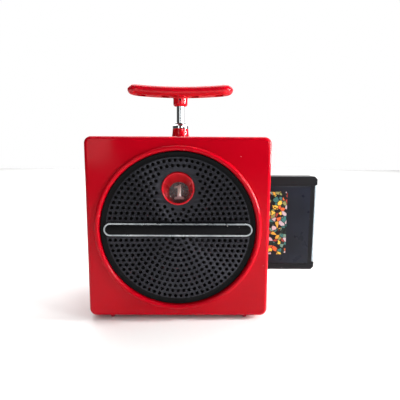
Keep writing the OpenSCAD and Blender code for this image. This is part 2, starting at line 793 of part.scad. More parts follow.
module program_shaft() color(chrome) rod_y(0, shaft_z, disc_y - 0.6, shaft_end - disc_y + 0.6, shaft_r);

module ratchet_wheel() color(steel) plate(ratchet_y, ratchet_t) translate([0, shaft_z]) difference() {
    polygon([for (k = [0:3], i = [0:8])
        let (a = 90 * k + 88 * i / 8, r = ratchet_r - ratchet_step * (1 - i / 8)) [r * cos(a), r * sin(a)]]);
    circle(shaft_r + snug);
}

module number_disc() color([0.03, 0.03, 0.04])
    plate(disc_y, disc_t) translate([0, shaft_z]) ring(disc_r, shaft_r + snug);

// Four plain numerals, each upright when it comes to the bottom of the disc.
module digit_one() {
    translate([-1.5, -7.5]) square([3, 15]);
    translate([-4.6, -7.5]) square([9.2, 2.4]);
    polygon([[-1.5, 7.5], [-4.4, 4.8], [-4.4, 2.6], [-1.4, 4.6]]);
}
module digit_two() {
    translate([0, 3.1]) difference() {
        ring(4.4, 1.8);
        translate([-6, -6]) square([6, 6]);
    }
    translate([-4.4, -7.5]) square([8.8, 2.4]);
    polygon([[-4.4, -5.2], [-1.4, -5.2], [4.2, 1.6], [1.4, 3.4]]);
}
module digit_three() for (s = [-1, 1]) translate([0, s * 3.1]) difference() {
    ring(4.4, 1.8);
    translate([-6, -3 - 2 * s]) square([6, 6]);
}
module digit_four() {
    translate([0.8, -7.5]) square([2.8, 15]);
    translate([-4.8, -3.6]) square([9.8, 2.4]);
    polygon([[-4.8, -1.2], [-1.9, -1.2], [1, 4], [0.8, 7.5]]);
}

module numerals() color([0.95, 0.88, 0.7]) plate(disc_y - numeral_t, numeral_t) translate([0, shaft_z]) {
    translate([0, -number_r]) digit_one();
    rotate(-90) translate([0, -number_r]) digit_two();
    rotate(180) translate([0, -number_r]) digit_three();
    rotate(90) translate([0, -number_r]) digit_four();
}

// Stepped face cam: the lowest step faces the follower.
module head_cam() color(brass) {
    plate(cam_y, cam_t) translate([0, shaft_z]) ring(cam_r, shaft_r + snug);
    for (k = [1:3]) plate(shaft_end - e, k * cam_step + e) translate([0, shaft_z]) intersection() {
        ring(cam_r - 0.2, cam_r - 3.2);
        rotate(90 * k - 40) wedge(2 * cam_r, 80);
    }
}

// ---- chassis and drive ----
module chassis_plate() color(steel) difference() {
    union() {
        plate(chassis_y, chassis_t) translate([0, zc]) round_rect(inner_w - 2, inner_h - 2, inner_cr);
        for (p = standoffs) rod_y(p[0], p[1], chassis_back - e, board_y - chassis_back + e, standoff_r);
    }
    for (p = posts) rod_y(p[0], p[1], chassis_y - 1, chassis_t + 2, screw_r + set_gap);
    block([-stop_r - 2.5, chassis_y - 1, zc + 8], [stop_r + 2.5, chassis_back + 1, top_z]);
    rod_y(capstan_x, capstan_z, chassis_y - 1, chassis_t + 2, bearing_r + set_gap);
    rod_y(motor_x, motor_z, chassis_y - 1, chassis_t + 2, motor_shaft_r + 2);
}

module cartridge_guide() color([0.16, 0.16, 0.17]) difference() {
    block([guide_x0, guide_y, cart_z - guide_in / 2 - guide_t],
          [guide_x1, chassis_y, cart_z + guide_in / 2 + guide_t]);
    block([guide_x0 - 1, guide_y + guide_t, cart_z - guide_in / 2],
          [guide_x1 + 1, chassis_y - guide_t, cart_z + guide_in / 2]);
}

module motor() color([0.7, 0.7, 0.72]) difference() {
    union() {
        rod_y(motor_x, motor_z, chassis_y - motor_l, motor_l, motor_r);
        rod_y(motor_x, motor_z, chassis_y - motor_l - motor_cap, motor_cap + e, motor_cap_r);
    }
    rod_y(motor_x, motor_z, chassis_y - motor_l + motor_end, motor_l, motor_shaft_r + run);
}

module motor_pulley() color(brass) {
    rod_y(motor_x, motor_z, chassis_y - motor_l + 7, motor_l - 7 + fly_y - chassis_y + fly_t, motor_shaft_r);
    rod_y(motor_x, motor_z, fly_y, fly_t, pulley_r);
    for (y = [fly_y, fly_y + fly_t - 0.8]) rod_y(motor_x, motor_z, y, 0.8, pulley_r + 1.4);
}

module belt_line(grow) hull() {
    translate([motor_x, motor_z]) circle(pulley_r + grow, $fn = 32);
    translate([capstan_x, capstan_z]) circle(fly_r + grow, $fn = 128);
}

module drive_belt() color([0.1, 0.1, 0.1]) plate(fly_y + (fly_t - belt_w) / 2, belt_w) difference() {
    belt_line(0.06 + belt_t);
    belt_line(0.06);
}

module flywheel() color(steel) difference() {
    union() {
        plate(fly_y, fly_t) translate([capstan_x, capstan_z]) ring(fly_r, fly_r - 8, $fn = 128);
        plate(fly_y + 1, 2.4) translate([capstan_x, capstan_z]) circle(fly_r - 8 + e);
        rod_y(capstan_x, capstan_z, fly_y, fly_t + 1.4, 5);
    }
    rod_y(capstan_x, capstan_z, fly_y - 1, fly_t + 4, capstan_r + snug);
}

module capstan() color(chrome)
    rod_y(capstan_x, capstan_z, capstan_y, fly_y + fly_t + 1.4 - capstan_y, capstan_r);

module capstan_bearing() color(brass) difference() {
    union() {
        rod_y(capstan_x, capstan_z, cart_back + 0.4, fly_y - air - cart_back - 0.4, bearing_r);
        rod_y(capstan_x, capstan_z, cart_back + 0.4, chassis_y - cart_back - 0.4, bearing_r + 1);
    }
    rod_y(capstan_x, capstan_z, cart_back - 1, fly_y, capstan_r + run);
}

module head_carriage() color([0.5, 0.5, 0.52]) difference() {
    union() {
        block([carriage_x, carriage_y0, head_z - carriage_half], [head_x0, carriage_y1, carriage_top]);
        block([carriage_x, carriage_y0, carriage_top - 4], [arm_x1, carriage_y1, carriage_top]);
        block([arm_x0, follower_y, carriage_top - 1], [arm_x1, follower_y + arm_t, shaft_z + 1.5]);
        block([arm_x0, carriage_y0, carriage_top - 1], [arm_x1, follower_y + arm_t, carriage_top + 3]);
    }
    for (s = [-1, 1]) rod_y(head_pin_x, head_z + s * head_pin_dz, carriage_y0 - 1,
                            carriage_y1 - carriage_y0 + 2, head_pin_r + run);
}

module tape_head() color(chrome) {
    y0 = tape_y - head_half;
    y1 = tape_y + head_half;
    block([head_x0, y0, head_z - head_half], [head_x1 - 2, y1, head_z + head_half]);
    intersection() {
        rod_y(head_x1 - head_half, head_z, y0, 2 * head_half, head_half);
        block([head_x1 - head_half, y0, head_z - head_half], [head_x1 + 1, y1, head_z + head_half]);
    }
}

module head_guide_pins() color(chrome) for (s = [-1, 1])
    rod_y(head_pin_x, head_z + s * head_pin_dz, carriage_y0 - 2.5, chassis_y - carriage_y0 + 2.5, head_pin_r);

// ---- electrics ----
module circuit_board() color([0.2, 0.35, 0.15]) plate(board_y, board_t) difference() {
    translate([-board_l / 2, board_z0]) square([board_l, board_z1 - board_z0]);
    for (p = standoffs) translate(p) circle(1.2);
}

// Capacitor cans: place as shares of the board's length and height, then size as
// multiples of can_r and can_l.
cans = [[-0.32, 0.31, 1, 1], [-0.21, 0.46, 0.8, 0.85], [-0.1, 0.27, 1.2, 1.3],
        [0.16, 0.61, 1, 1], [0.26, 0.42, 0.8, 0.7], [0.31, 0.7, 0.8, 0.85]];
module board_parts() color([0.2, 0.25, 0.5]) {
    for (c = cans) rod_y(c[0] * board_l, board_z0 + c[1] * board_h, board_back, c[3] * can_l, c[2] * can_r);
    on_board(-0.27, 0.77, coil_w, coil_w, coil_t);
    on_board(0.09, 0.26, chip_l, chip_l / 2, chip_t);
    for (i = [-3:2]) on_board(0.05 * i, 0.1, chip_t / 2, chip_t / 2, chip_t / 3);
}
// A block of width w and height h on the board, its middle placed by shares.
module on_board(across, up, w, h, t) plate(board_back, t)
    translate([across * board_l, board_z0 + up * board_h]) square([w, h], center = true);

module battery_box() color([0.14, 0.14, 0.15]) {
    difference() {
        block([-box_l / 2 - box_wall, box_y - box_wall, floor_z],
              [box_l / 2 + box_wall, inner_back, floor_z + box_h + 2 * box_wall]);
        block([-box_l / 2, box_y, floor_z + box_wall],
              [box_l / 2, inner_back + 1, floor_z + box_wall + box_h]);
        block([-body_w, inner_back - inner_er, floor_z - 1], [body_w, inner_back + 1, floor_z + inner_er]);
    }
    for (x = [-box_l / 6, box_l / 6])
        block([x - 0.6, box_y - e, box_z - 0.6], [x + 0.6, box_y + 5, box_z + 0.6]);
    block([-box_l / 2 - e, box_y - e, box_z - 0.5], [box_l / 2 + e, box_y + 3, box_z + 0.5]);
}

module battery_contacts() color([0.85, 0.75, 0.5]) for (s = [-1, 1], r = [-1, 1]) {
    z = box_z + r * box_h / 4;
    x = s * box_l / 2;
    block([min(x, x - s * 0.6), box_y + 6, z - 7], [max(x, x - s * 0.6), box_y + 20, z + 7]);
    rod_x(min(x - s * 0.6, x - s * 2.2), box_y + 13, z, 1.6 + e, s == r ? 3 : 2);
}

module battery_door() color(red) difference() {
    union() {
        block([-door_l / 2, yb - door_t, hinge_z], [door_l / 2, yb, box_z + door_h / 2]);
        rod_x(-door_l / 2, hinge_y, hinge_z, door_l, hinge_r);
        rod_x(-hinge_x, hinge_y, hinge_z, 2 * hinge_x, hinge_pin_r);
    }
    for (i = [0:4]) let (z = box_z + door_h / 2 - 5 - 3 * i)
        block([-12, yb - 0.8, z], [12, yb + 1, z + 1.4]);
}

// ---- side controls ----
module control_panel() color(black) difference() {
    block([panel_x, panel_y - panel_w / 2 - panel_lip, panel_z - panel_h / 2 - panel_lip],
          [panel_x + panel_t, panel_y + panel_w / 2 + panel_lip, panel_z + panel_h / 2 + panel_lip]);
    for (z = wheel_zs) block([panel_x - 1, wheel_y - air, z - wheel_r * 0.86],
                             [panel_x + panel_t + 1, wheel_y + wheel_t + air, z + wheel_r * 0.86]);
    rod_x(panel_x - 1, panel_y, jack_z, panel_t + 2, jack_body_r + set_gap);
}

module thumbwheel(z) difference() {
    union() {
        rod_y(wheel_x, z, wheel_y, wheel_t, wheel_r);
        rod_y(wheel_x, z, wheel_y + wheel_t - e, wheel_pin_l + air, wheel_pin_r);
    }
    for (a = [0:15:345]) plate(wheel_y - 1, wheel_t + 2)
        translate([wheel_x, z]) rotate(a) translate([wheel_r + 0.2, 0]) circle(0.6, $fn = 16);
}
module volume_wheel() color([0.2, 0.2, 0.21]) thumbwheel(wheel_zs[0]);
module tone_wheel() color([0.2, 0.2, 0.21]) thumbwheel(wheel_zs[1]);

module control_pots() color([0.6, 0.55, 0.45]) for (z = wheel_zs) difference() {
    rod_y(wheel_x, z, wheel_y + wheel_t + air, chassis_y - wheel_y - wheel_t - air, pot_r);
    rod_y(wheel_x, z, wheel_y + wheel_t - 1, wheel_pin_l + 1.5, wheel_pin_r + run);
}

module earphone_jack() color(chrome) difference() {
    rod_x(panel_x, panel_y, jack_z, jack_l, jack_body_r);
    rod_x(panel_x - 1, panel_y, jack_z, jack_l + 2, jack_r);
}

module power_jack() color([0.15, 0.15, 0.15]) {
    difference() {
        rod_y(dc_x, dc_z, yb - dc_l, dc_l, dc_r);
        rod_y(dc_x, dc_z, yb - dc_l + 2, dc_l, dc_bore_r);
    }
    rod_y(dc_x, dc_z, yb - dc_l + 1, dc_l - 2, 1);
}

// ---- cartridge ----
module cart_outline() {
    z0 = cart_z - cart_w / 2;
    z1 = cart_z + cart_w / 2;
    polygon([[cart_x0, z0 + 1], [cart_x0 + 1, z0], [cart_x1 - cart_bevel, z0], [cart_x1, z0 + cart_bevel],
             [cart_x1, z0 + 8], [cart_x1 - end_dip, z0 + 9], [cart_x1 - end_dip, z1 - 10], [cart_x1, z1 - 9],
             [cart_x1, z1 - cart_bevel], [cart_x1 - cart_bevel, z1], [cart_x0 + 1, z1], [cart_x0, z1 - 1]]);
}
module cart_inside() translate([cart_x0 + cart_wall, cart_z - cart_w / 2 + cart_wall])
    square([cart_l - 2 * cart_wall - end_dip, cart_w - 2 * cart_wall]);

module cartridge_shell() color(black) difference() {
    union() {
        difference() {
            plate(cart_y, cart_split - cart_y) cart_outline();
            plate(cart_y + cart_wall, cart_split - cart_y) cart_inside();
        }
        rod_y(reel_x, cart_z, cart_y + cart_wall - e, cart_t - 2 * cart_wall - 1, reel_post_r);
        rod_y(roller_x, capstan_z, cart_y + cart_wall - e, cart_t - 2 * cart_wall + e, roller_post_r);
    }
    for (z = [cart_z + cart_w / 2 - groove_top, cart_z - cart_w / 2 + groove_bottom])
        block([cart_x0 - 1, cart_y - 1, z - 0.4], [cart_x1 + 1, cart_y + 0.4, z + 0.4]);
    block([label_x0, cart_y - 1, label_z - label_h / 2], [label_x1, cart_y + label_t, label_z + label_h / 2]);
    cart_mouths(cart_y + cart_wall);
}

// Openings in the inserted end for the head and the capstan.
module cart_mouths(y0) {
    for (m = [[head_z, head_half + 2], [capstan_z, roller_r + 1]])
        block([cart_x0 - 1, y0, m[0] - m[1]], [cart_x0 + 5, cart_back - cart_wall, m[0] + m[1]]);
}

module cartridge_cover() color(black) difference() {
    plate(cart_split, cart_back - cart_split) cart_outline();
    plate(cart_split - 1, cart_back - cart_split - cart_wall + 1) cart_inside();
    cart_mouths(cart_split - 1);
    block([cart_x0 - 1, cart_split, capstan_z - 3], [cart_x0 + 3, cart_back + 1, capstan_z + 3]);
}

module cartridge_label() color([0.07, 0.08, 0.16])
    block([label_x0, cart_y, label_z - label_h / 2], [label_x1, cart_y + label_t, label_z + label_h / 2]);

module tape_reel() color([0.35, 0.22, 0.14]) turned(reel_x, cart_z, reel_y) {
    translate([reel_post_r + run, 0]) square([reel_r - reel_post_r - run, reel_flange]);
    translate([reel_post_r + run, reel_flange - e]) square([reel_hub_r - reel_post_r, reel_hub_l]);
    translate([reel_hub_r, reel_flange - e]) square([pack_r - reel_hub_r, tape_w]);
}

module pinch_roller() color([0.12, 0.12, 0.12])
    plate(tape_y - roller_l / 2, roller_l)
        translate([roller_x, capstan_z]) ring(roller_r, roller_post_r + run);

front_shell();
rear_cover();
feet();
case_screws();
grille();
nameplate();
nameplate_trim();
window_cup();
window_lens();
speaker_baffle();
speaker_frame();
speaker_cone();
speaker_magnet();
collar_base();
collar_nut();
collar_locknut();
plunger_grip();
grip_pin();
plunger_rod();
rod_stop();
rack_crosshead();
plunger_spring();
plunger_bracket();
program_plate();
index_pinion();
index_pawl();
program_shaft();
ratchet_wheel();
number_disc();
numerals();
head_cam();
chassis_plate();
cartridge_guide();
motor();
motor_pulley();
drive_belt();
flywheel();
capstan();
capstan_bearing();
head_carriage();
tape_head();
head_guide_pins();
circuit_board();
board_parts();
battery_box();
battery_contacts();
battery_door();
control_panel();
volume_wheel();
tone_wheel();
control_pots();
earphone_jack();
power_jack();
cartridge_shell();
cartridge_cover();
cartridge_label();
tape_reel();
pinch_roller();
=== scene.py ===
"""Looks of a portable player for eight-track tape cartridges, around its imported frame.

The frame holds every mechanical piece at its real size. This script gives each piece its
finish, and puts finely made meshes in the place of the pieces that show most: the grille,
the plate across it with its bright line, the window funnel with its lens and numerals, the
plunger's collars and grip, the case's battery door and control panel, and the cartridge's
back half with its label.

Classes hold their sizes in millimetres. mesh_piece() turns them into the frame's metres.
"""

from __future__ import annotations

import json
import logging
import math
from collections.abc import Callable, Sequence
from dataclasses import dataclass
from enum import Enum
from typing import Any

import bmesh
import bpy
import numpy as np
from mathutils import Matrix, Vector

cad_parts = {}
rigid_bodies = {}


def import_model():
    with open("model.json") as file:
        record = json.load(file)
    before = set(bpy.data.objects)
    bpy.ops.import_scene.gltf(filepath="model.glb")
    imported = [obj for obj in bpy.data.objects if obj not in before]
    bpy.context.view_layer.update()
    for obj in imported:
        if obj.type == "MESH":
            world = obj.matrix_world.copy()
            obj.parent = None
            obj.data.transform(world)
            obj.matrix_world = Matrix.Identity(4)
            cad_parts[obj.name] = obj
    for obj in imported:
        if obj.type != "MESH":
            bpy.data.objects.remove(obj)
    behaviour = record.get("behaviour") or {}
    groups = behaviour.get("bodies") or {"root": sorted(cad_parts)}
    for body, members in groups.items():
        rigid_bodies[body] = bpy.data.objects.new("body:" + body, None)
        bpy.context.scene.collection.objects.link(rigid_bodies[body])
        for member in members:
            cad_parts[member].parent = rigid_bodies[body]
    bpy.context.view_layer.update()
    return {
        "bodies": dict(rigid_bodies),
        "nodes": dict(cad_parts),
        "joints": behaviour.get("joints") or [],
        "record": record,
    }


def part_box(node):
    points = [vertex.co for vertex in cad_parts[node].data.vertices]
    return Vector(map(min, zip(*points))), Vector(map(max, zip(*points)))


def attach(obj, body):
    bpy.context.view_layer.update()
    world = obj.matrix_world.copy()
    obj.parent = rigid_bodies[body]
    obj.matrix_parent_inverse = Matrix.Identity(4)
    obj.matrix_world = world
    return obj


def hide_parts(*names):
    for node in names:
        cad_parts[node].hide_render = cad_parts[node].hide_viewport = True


LOG = logging.getLogger("player")
MM = 0.001
MIX_A, MIX_B = 6, 7  # colour inputs of a Mix node
# Degrees that an edge turns by to stay sharp: on most meshes, flat shapes and the cut grip.
SHARP, SHARP_FLAT, SHARP_CUT = 38, 30, 35
Tree = bpy.types.NodeTree
Node = bpy.types.Node
Socket = bpy.types.NodeSocket
Piece = bpy.types.Object
Sockets = dict[str | int, Any]
Colour = tuple[float, float, float, float]
Stops = Sequence[tuple[float, Colour]]
Point = tuple[float, float]
Place = tuple[float, float, float]


class Body(Enum):
    """The moving bodies of the frame that pieces ride on."""

    CASE = "case"
    PLUNGER = "plunger"
    PROGRAMME = "programme"
    DOOR = "battery_lid"
    CARTRIDGE = "cartridge"


class Axis(Enum):
    """Axes that a turned piece can have."""

    DEPTH = "y"
    UPRIGHT = "z"


# ---- node and colour helpers ----


def add(
    tree: Tree, kind: str, inputs: Sockets | None = None, stops: Stops = (), **settings: Any
) -> Node:
    """Adds a shader node with its settings and links.

    Args:
        tree: The material's or world's node tree.
        kind: The node's type, without "ShaderNode".
        inputs: For each input a value, a socket, or a node whose first output in use is meant.
        stops: Places and colours for a colour ramp.
        **settings: The node's own settings.

    Returns:
        The new node.
    """
    node = tree.nodes.new("ShaderNode" + kind)
    for name, value in settings.items():
        setattr(node, name, value)
    for key, value in (inputs or {}).items():
        if isinstance(value, Node):
            value = next(socket for socket in value.outputs if socket.enabled)
        if isinstance(value, Socket):
            tree.links.new(value, node.inputs[key])
        else:
            node.inputs[key].default_value = value
    for index, (place, shade) in enumerate(stops):
        ramp = node.color_ramp.elements
        stop = ramp[index] if index < len(ramp) else ramp.new(place)
        stop.position, stop.color = place, shade
    return node


def paint(code: str) -> Colour:
    """Turns an sRGB colour such as "#c8001a" to linear red, green, blue and alpha."""
    values = np.array([int(code[i : i + 2], 16) for i in (1, 3, 5)]) / 255
    linear = np.where(values <= 0.04045, values / 12.92, ((values + 0.055) / 1.055) ** 2.4)
    return (*linear.tolist(), 1.0)


def per_metre(size_mm: float) -> float:
    """The texture scale that repeats a pattern every size_mm on object coordinates in metres."""
    return 1 / (size_mm * MM)


# ---- finishes ----

DUST = "#e9e2de"
INK_LINE = "#0b0c10"


@dataclass(frozen=True)
class Finish:
    """A surface whose colour drifts slowly, with a fine grain and uneven gloss.

    Attributes:
        name: The material's name.
        slot: The record's material slot; not used.
        base: Main colour.
        second: Colour that the main one drifts to.
        drift_mm: Size of the colour drift.
        rough: Mean roughness.
        rough_swing: How far the roughness swings to each side.
        smudge_mm: Size of the patches of other roughness.
        grain_mm: Spacing of the surface grain.
        grain_um: Height of the grain in micrometres.
        metallic: 1 for bare metal.
        ior: Index of refraction of what isn't metal.
        gloss: Strength of the mirror-like part; 0.5 is what the index of refraction gives.
        coat: Weight of a clear gloss on top.
        coat_rough: Roughness of that gloss.
    """

    name: str
    slot: str
    base: str
    second: str
    drift_mm: float = 45
    rough: float = 0.35
    rough_swing: float = 0.06
    smudge_mm: float = 14
    grain_mm: float = 0.9
    grain_um: float = 4
    metallic: float = 0
    ior: float = 1.5
    gloss: float = 0.5
    coat: float = 0
    coat_rough: float = 0.06

    def material(self) -> bpy.types.Material:
        """Makes the material once and returns it."""
        made = bpy.data.materials.get(self.name)
        if made:
            return made
        made = bpy.data.materials.new(self.name)
        made.use_nodes = True
        tree = made.node_tree
        tree.nodes.clear()
        place = add(tree, "TexCoord").outputs["Object"]
        inputs: Sockets = {
            "Base Color": self.colour(tree, place),
            "Roughness": self.roughness(tree, place),
            "Normal": self.normal(tree, place),
            "Metallic": self.metallic,
            "Coat Weight": self.coat,
            "Coat Roughness": self.coat_rough,
        }
        if not self.metallic:
            inputs |= {"IOR": self.ior, "Specular IOR Level": self.gloss}
        shader = add(tree, "BsdfPrincipled", inputs | self.extras(tree, place))
        add(tree, "OutputMaterial", {"Surface": shader})
        made.diffuse_color = paint(self.base)
        return made

    def noise(self, tree: Tree, place: Socket, size_mm: float, detail: float = 2) -> Node:
        """A noise with features of size_mm, from 0 to 1 with its middle stretched."""
        made = add(tree, "TexNoise", {"Vector": place, "Scale": per_metre(size_mm), "Detail": detail})
        return add(tree, "MapRange", {"Value": made, "From Min": 0.3, "From Max": 0.7})

    def colour(self, tree: Tree, place: Socket) -> Node:
        """The base colour, which drifts slowly to the second one."""
        drift = self.noise(tree, place, self.drift_mm, 4)
        colours: Sockets = {0: drift, MIX_A: paint(self.base), MIX_B: paint(self.second)}
        return add(tree, "Mix", colours, data_type="RGBA")

    def roughness(self, tree: Tree, place: Socket) -> Node:
        """Roughness in soft patches, as handling leaves it."""
        patches = self.noise(tree, place, self.smudge_mm, 5)
        low, high = self.rough - self.rough_swing, self.rough + self.rough_swing
        return add(tree, "MapRange", {"Value": patches, "To Min": low, "To Max": high})

    def height(self, tree: Tree, place: Socket) -> Node:
        """The grain's height from 0 to 1."""
        return add(tree, "TexNoise", {"Vector": place, "Scale": per_metre(self.grain_mm), "Detail": 2.0})

    def normal(self, tree: Tree, place: Socket) -> Node:
        """The surface normal over the grain, whose height is in real micrometres."""
        grain = self.height(tree, place)
        return add(tree, "Bump", {"Height": grain, "Distance": self.grain_um * 1e-6, "Strength": 1.0})

    def extras(self, tree: Tree, place: Socket) -> Sockets:
        """Further inputs of the shader that a kind of finish needs."""
        return {}


@dataclass(frozen=True)
class MouldedPlastic(Finish):
    """Moulded ABS: glossy, with a faint orange peel, rubbed edges, fine scratches and dust.

    Attributes:
        wear: How far rubbed edges pale, from 0 to 1.
        edge_mm: Width of a rubbed edge.
        worn: Colour of a rubbed edge.
        dust: Share of the places where a speck of dust lies.
        dust_mm: Distance between such places.
        speck_mm: Radius of a speck, drawn about twice as large as real so that it shows.
        scratch: Share of the surface that fine scratches cover.
        matt_below: Roughness that the mould adds where the surface faces down.
    """

    wear: float = 0.35
    edge_mm: float = 0.7
    worn: str = "#ff5a60"
    dust: float = 0.12
    dust_mm: float = 6
    speck_mm: float = 0.22
    scratch: float = 0.25
    matt_below: float = 0

    def edge_mask(self, tree: Tree, place: Socket) -> Node:
        """Where the surface turns sharply within edge_mm, broken up by noise."""
        soft = add(tree, "Bevel", {"Radius": self.edge_mm * MM}, samples=4)
        plain = add(tree, "NewGeometry").outputs["Normal"]
        turn = add(tree, "VectorMath", {0: soft, 1: plain}, operation="DOT_PRODUCT")
        sharp = {"Value": turn, "From Min": 0.985, "From Max": 0.85, "To Max": self.wear}
        edge = add(tree, "MapRange", sharp)
        return add(tree, "Math", {0: edge, 1: self.noise(tree, place, 5)}, operation="MULTIPLY")

    def dust_mask(self, tree: Tree, place: Socket) -> Node:
        """Round specks in a few cells of a cell pattern, picked by each cell's random colour."""
        cells = add(tree, "TexVoronoi", {"Vector": place, "Scale": per_metre(self.dust_mm)})
        rim = self.speck_mm / self.dust_mm
        fall = {"Value": cells, "From Min": rim, "From Max": 1.5 * rim, "To Min": 1.0, "To Max": 0.0}
        near = add(tree, "MapRange", fall)
        pick = add(tree, "SeparateColor", {"Color": cells.outputs["Color"]})
        chosen = add(tree, "Math", {0: pick, 1: 1 - self.dust}, operation="GREATER_THAN")
        return add(tree, "Math", {0: near, 1: chosen}, operation="MULTIPLY")

    def colour(self, tree: Tree, place: Socket) -> Node:
        """The drifting colour, paled at rubbed edges, with dust on it."""
        rubbed: Sockets = {0: self.edge_mask(tree, place), MIX_A: super().colour(tree, place)}
        clean = add(tree, "Mix", rubbed | {MIX_B: paint(self.worn)}, data_type="RGBA")
        dusty: Sockets = {0: self.dust_mask(tree, place), MIX_A: clean, MIX_B: paint(DUST)}
        return add(tree, "Mix", dusty, data_type="RGBA")

    def roughness(self, tree: Tree, place: Socket) -> Node:
        """The usual patches, and a matt moulding where the surface faces down."""
        usual = super().roughness(tree, place)
        if not self.matt_below:
            return usual
        facing = add(tree, "SeparateXYZ", {"Vector": add(tree, "TexCoord").outputs["Normal"]}).outputs["Z"]
        down = {"Value": facing, "From Min": -0.25, "From Max": -0.85, "To Max": self.matt_below}
        matt = add(tree, "MapRange", down)
        return add(tree, "Math", {0: usual, 1: matt}, operation="ADD", use_clamp=True)

    def height(self, tree: Tree, place: Socket) -> Node:
        """Orange peel, with fine slanting scratches cut into it."""
        slant = (0.3, math.radians(38), 0.2)
        # A scratch is about thirty times as long as it is wide.
        streaks = add(tree, "Mapping", {"Vector": place, "Rotation": slant, "Scale": (1.0, 1.0, 0.03)})
        lines = add(tree, "TexNoise", {"Vector": streaks, "Scale": per_metre(0.8), "Detail": 1.0})
        start = 0.78 - 0.1 * self.scratch
        cut = {"Value": lines, "From Min": start, "From Max": 0.8, "To Max": -self.scratch}
        peel = super().height(tree, place)
        return add(tree, "Math", {0: peel, 1: add(tree, "MapRange", cut)}, operation="ADD")


@dataclass(frozen=True)
class TurnedPlastic(Finish):
    """Black plastic turned on a lathe: its circular grooves stretch the gloss into sectors.

    Attributes:
        centre: The turning axis in X and Z, in millimetres.
        anisotropy: How far the gloss is stretched across the grooves.
        sheen_tint: Colour of the gloss.
        groove_mm: Pitch of the grooves, drawn coarser than real so that some show.
    """

    centre: Point = (0, 0)
    anisotropy: float = 0.8
    sheen_tint: str = "#ffffff"
    groove_mm: float = 0.9

    def from_axis(self, tree: Tree, place: Socket) -> Node:
        """The position relative to the turning axis, without its depth."""
        middle = (self.centre[0] * MM, 0.0, self.centre[1] * MM)
        moved = add(tree, "VectorMath", {0: place, 1: middle}, operation="SUBTRACT")
        return add(tree, "VectorMath", {0: moved, 1: (1.0, 0.0, 1.0)}, operation="MULTIPLY")

    def extras(self, tree: Tree, place: Socket) -> Sockets:
        """The tangent runs along the circular grooves."""
        outward = self.from_axis(tree, place)
        along = add(tree, "VectorMath", {0: outward, 1: (0.0, 1.0, 0.0)}, operation="CROSS_PRODUCT")
        unit = add(tree, "VectorMath", {0: along}, operation="NORMALIZE")
        return {"Anisotropic": self.anisotropy, "Tangent": unit, "Specular Tint": paint(self.sheen_tint)}

    def height(self, tree: Tree, place: Socket) -> Node:
        """Circular grooves as a sine of the radius, and a little grain."""
        radius = add(tree, "VectorMath", {0: self.from_axis(tree, place)}, operation="LENGTH")
        grooves = 2 * math.pi * per_metre(self.groove_mm)
        phase = add(tree, "Math", {0: radius, 1: grooves}, operation="MULTIPLY")
        wave = add(tree, "Math", {0: phase}, operation="SINE")
        return add(tree, "Math", {0: wave, 1: super().height(tree, place)}, operation="ADD")


@dataclass(frozen=True)
class ClearAcrylic(Finish):
    """Clear moulded acrylic, hazy where it was wiped.

    Attributes:
        veil: Share of the light that doesn't pass.
    """

    veil: float = 0.12

    def extras(self, tree: Tree, place: Socket) -> Sockets:
        """Most light passes straight through; what stays is gloss and a thin veil."""
        return {"Alpha": self.veil}


@dataclass(frozen=True)
class RolledSheet(Finish):
    """Rolled zinc-plated sheet: fine brushed lines along X and pale crystal patches.

    Attributes:
        spangle_mm: Size of the zinc crystals.
    """

    spangle_mm: float = 7

    def colour(self, tree: Tree, place: Socket) -> Node:
        """Each crystal has its own shade between the two colours."""
        cells = add(tree, "TexVoronoi", {"Vector": place, "Scale": per_metre(self.spangle_mm)})
        shade = add(tree, "SeparateColor", {"Color": cells.outputs["Color"]})
        colours: Sockets = {0: shade, MIX_A: paint(self.base), MIX_B: paint(self.second)}
        return add(tree, "Mix", colours, data_type="RGBA")

    def height(self, tree: Tree, place: Socket) -> Node:
        """Brushed lines: a noise stretched thirty times along X."""
        long = add(tree, "Mapping", {"Vector": place, "Scale": (1 / 30, 1.0, 1.0)})
        return add(tree, "TexNoise", {"Vector": long, "Scale": per_metre(self.grain_mm), "Detail": 3.0})


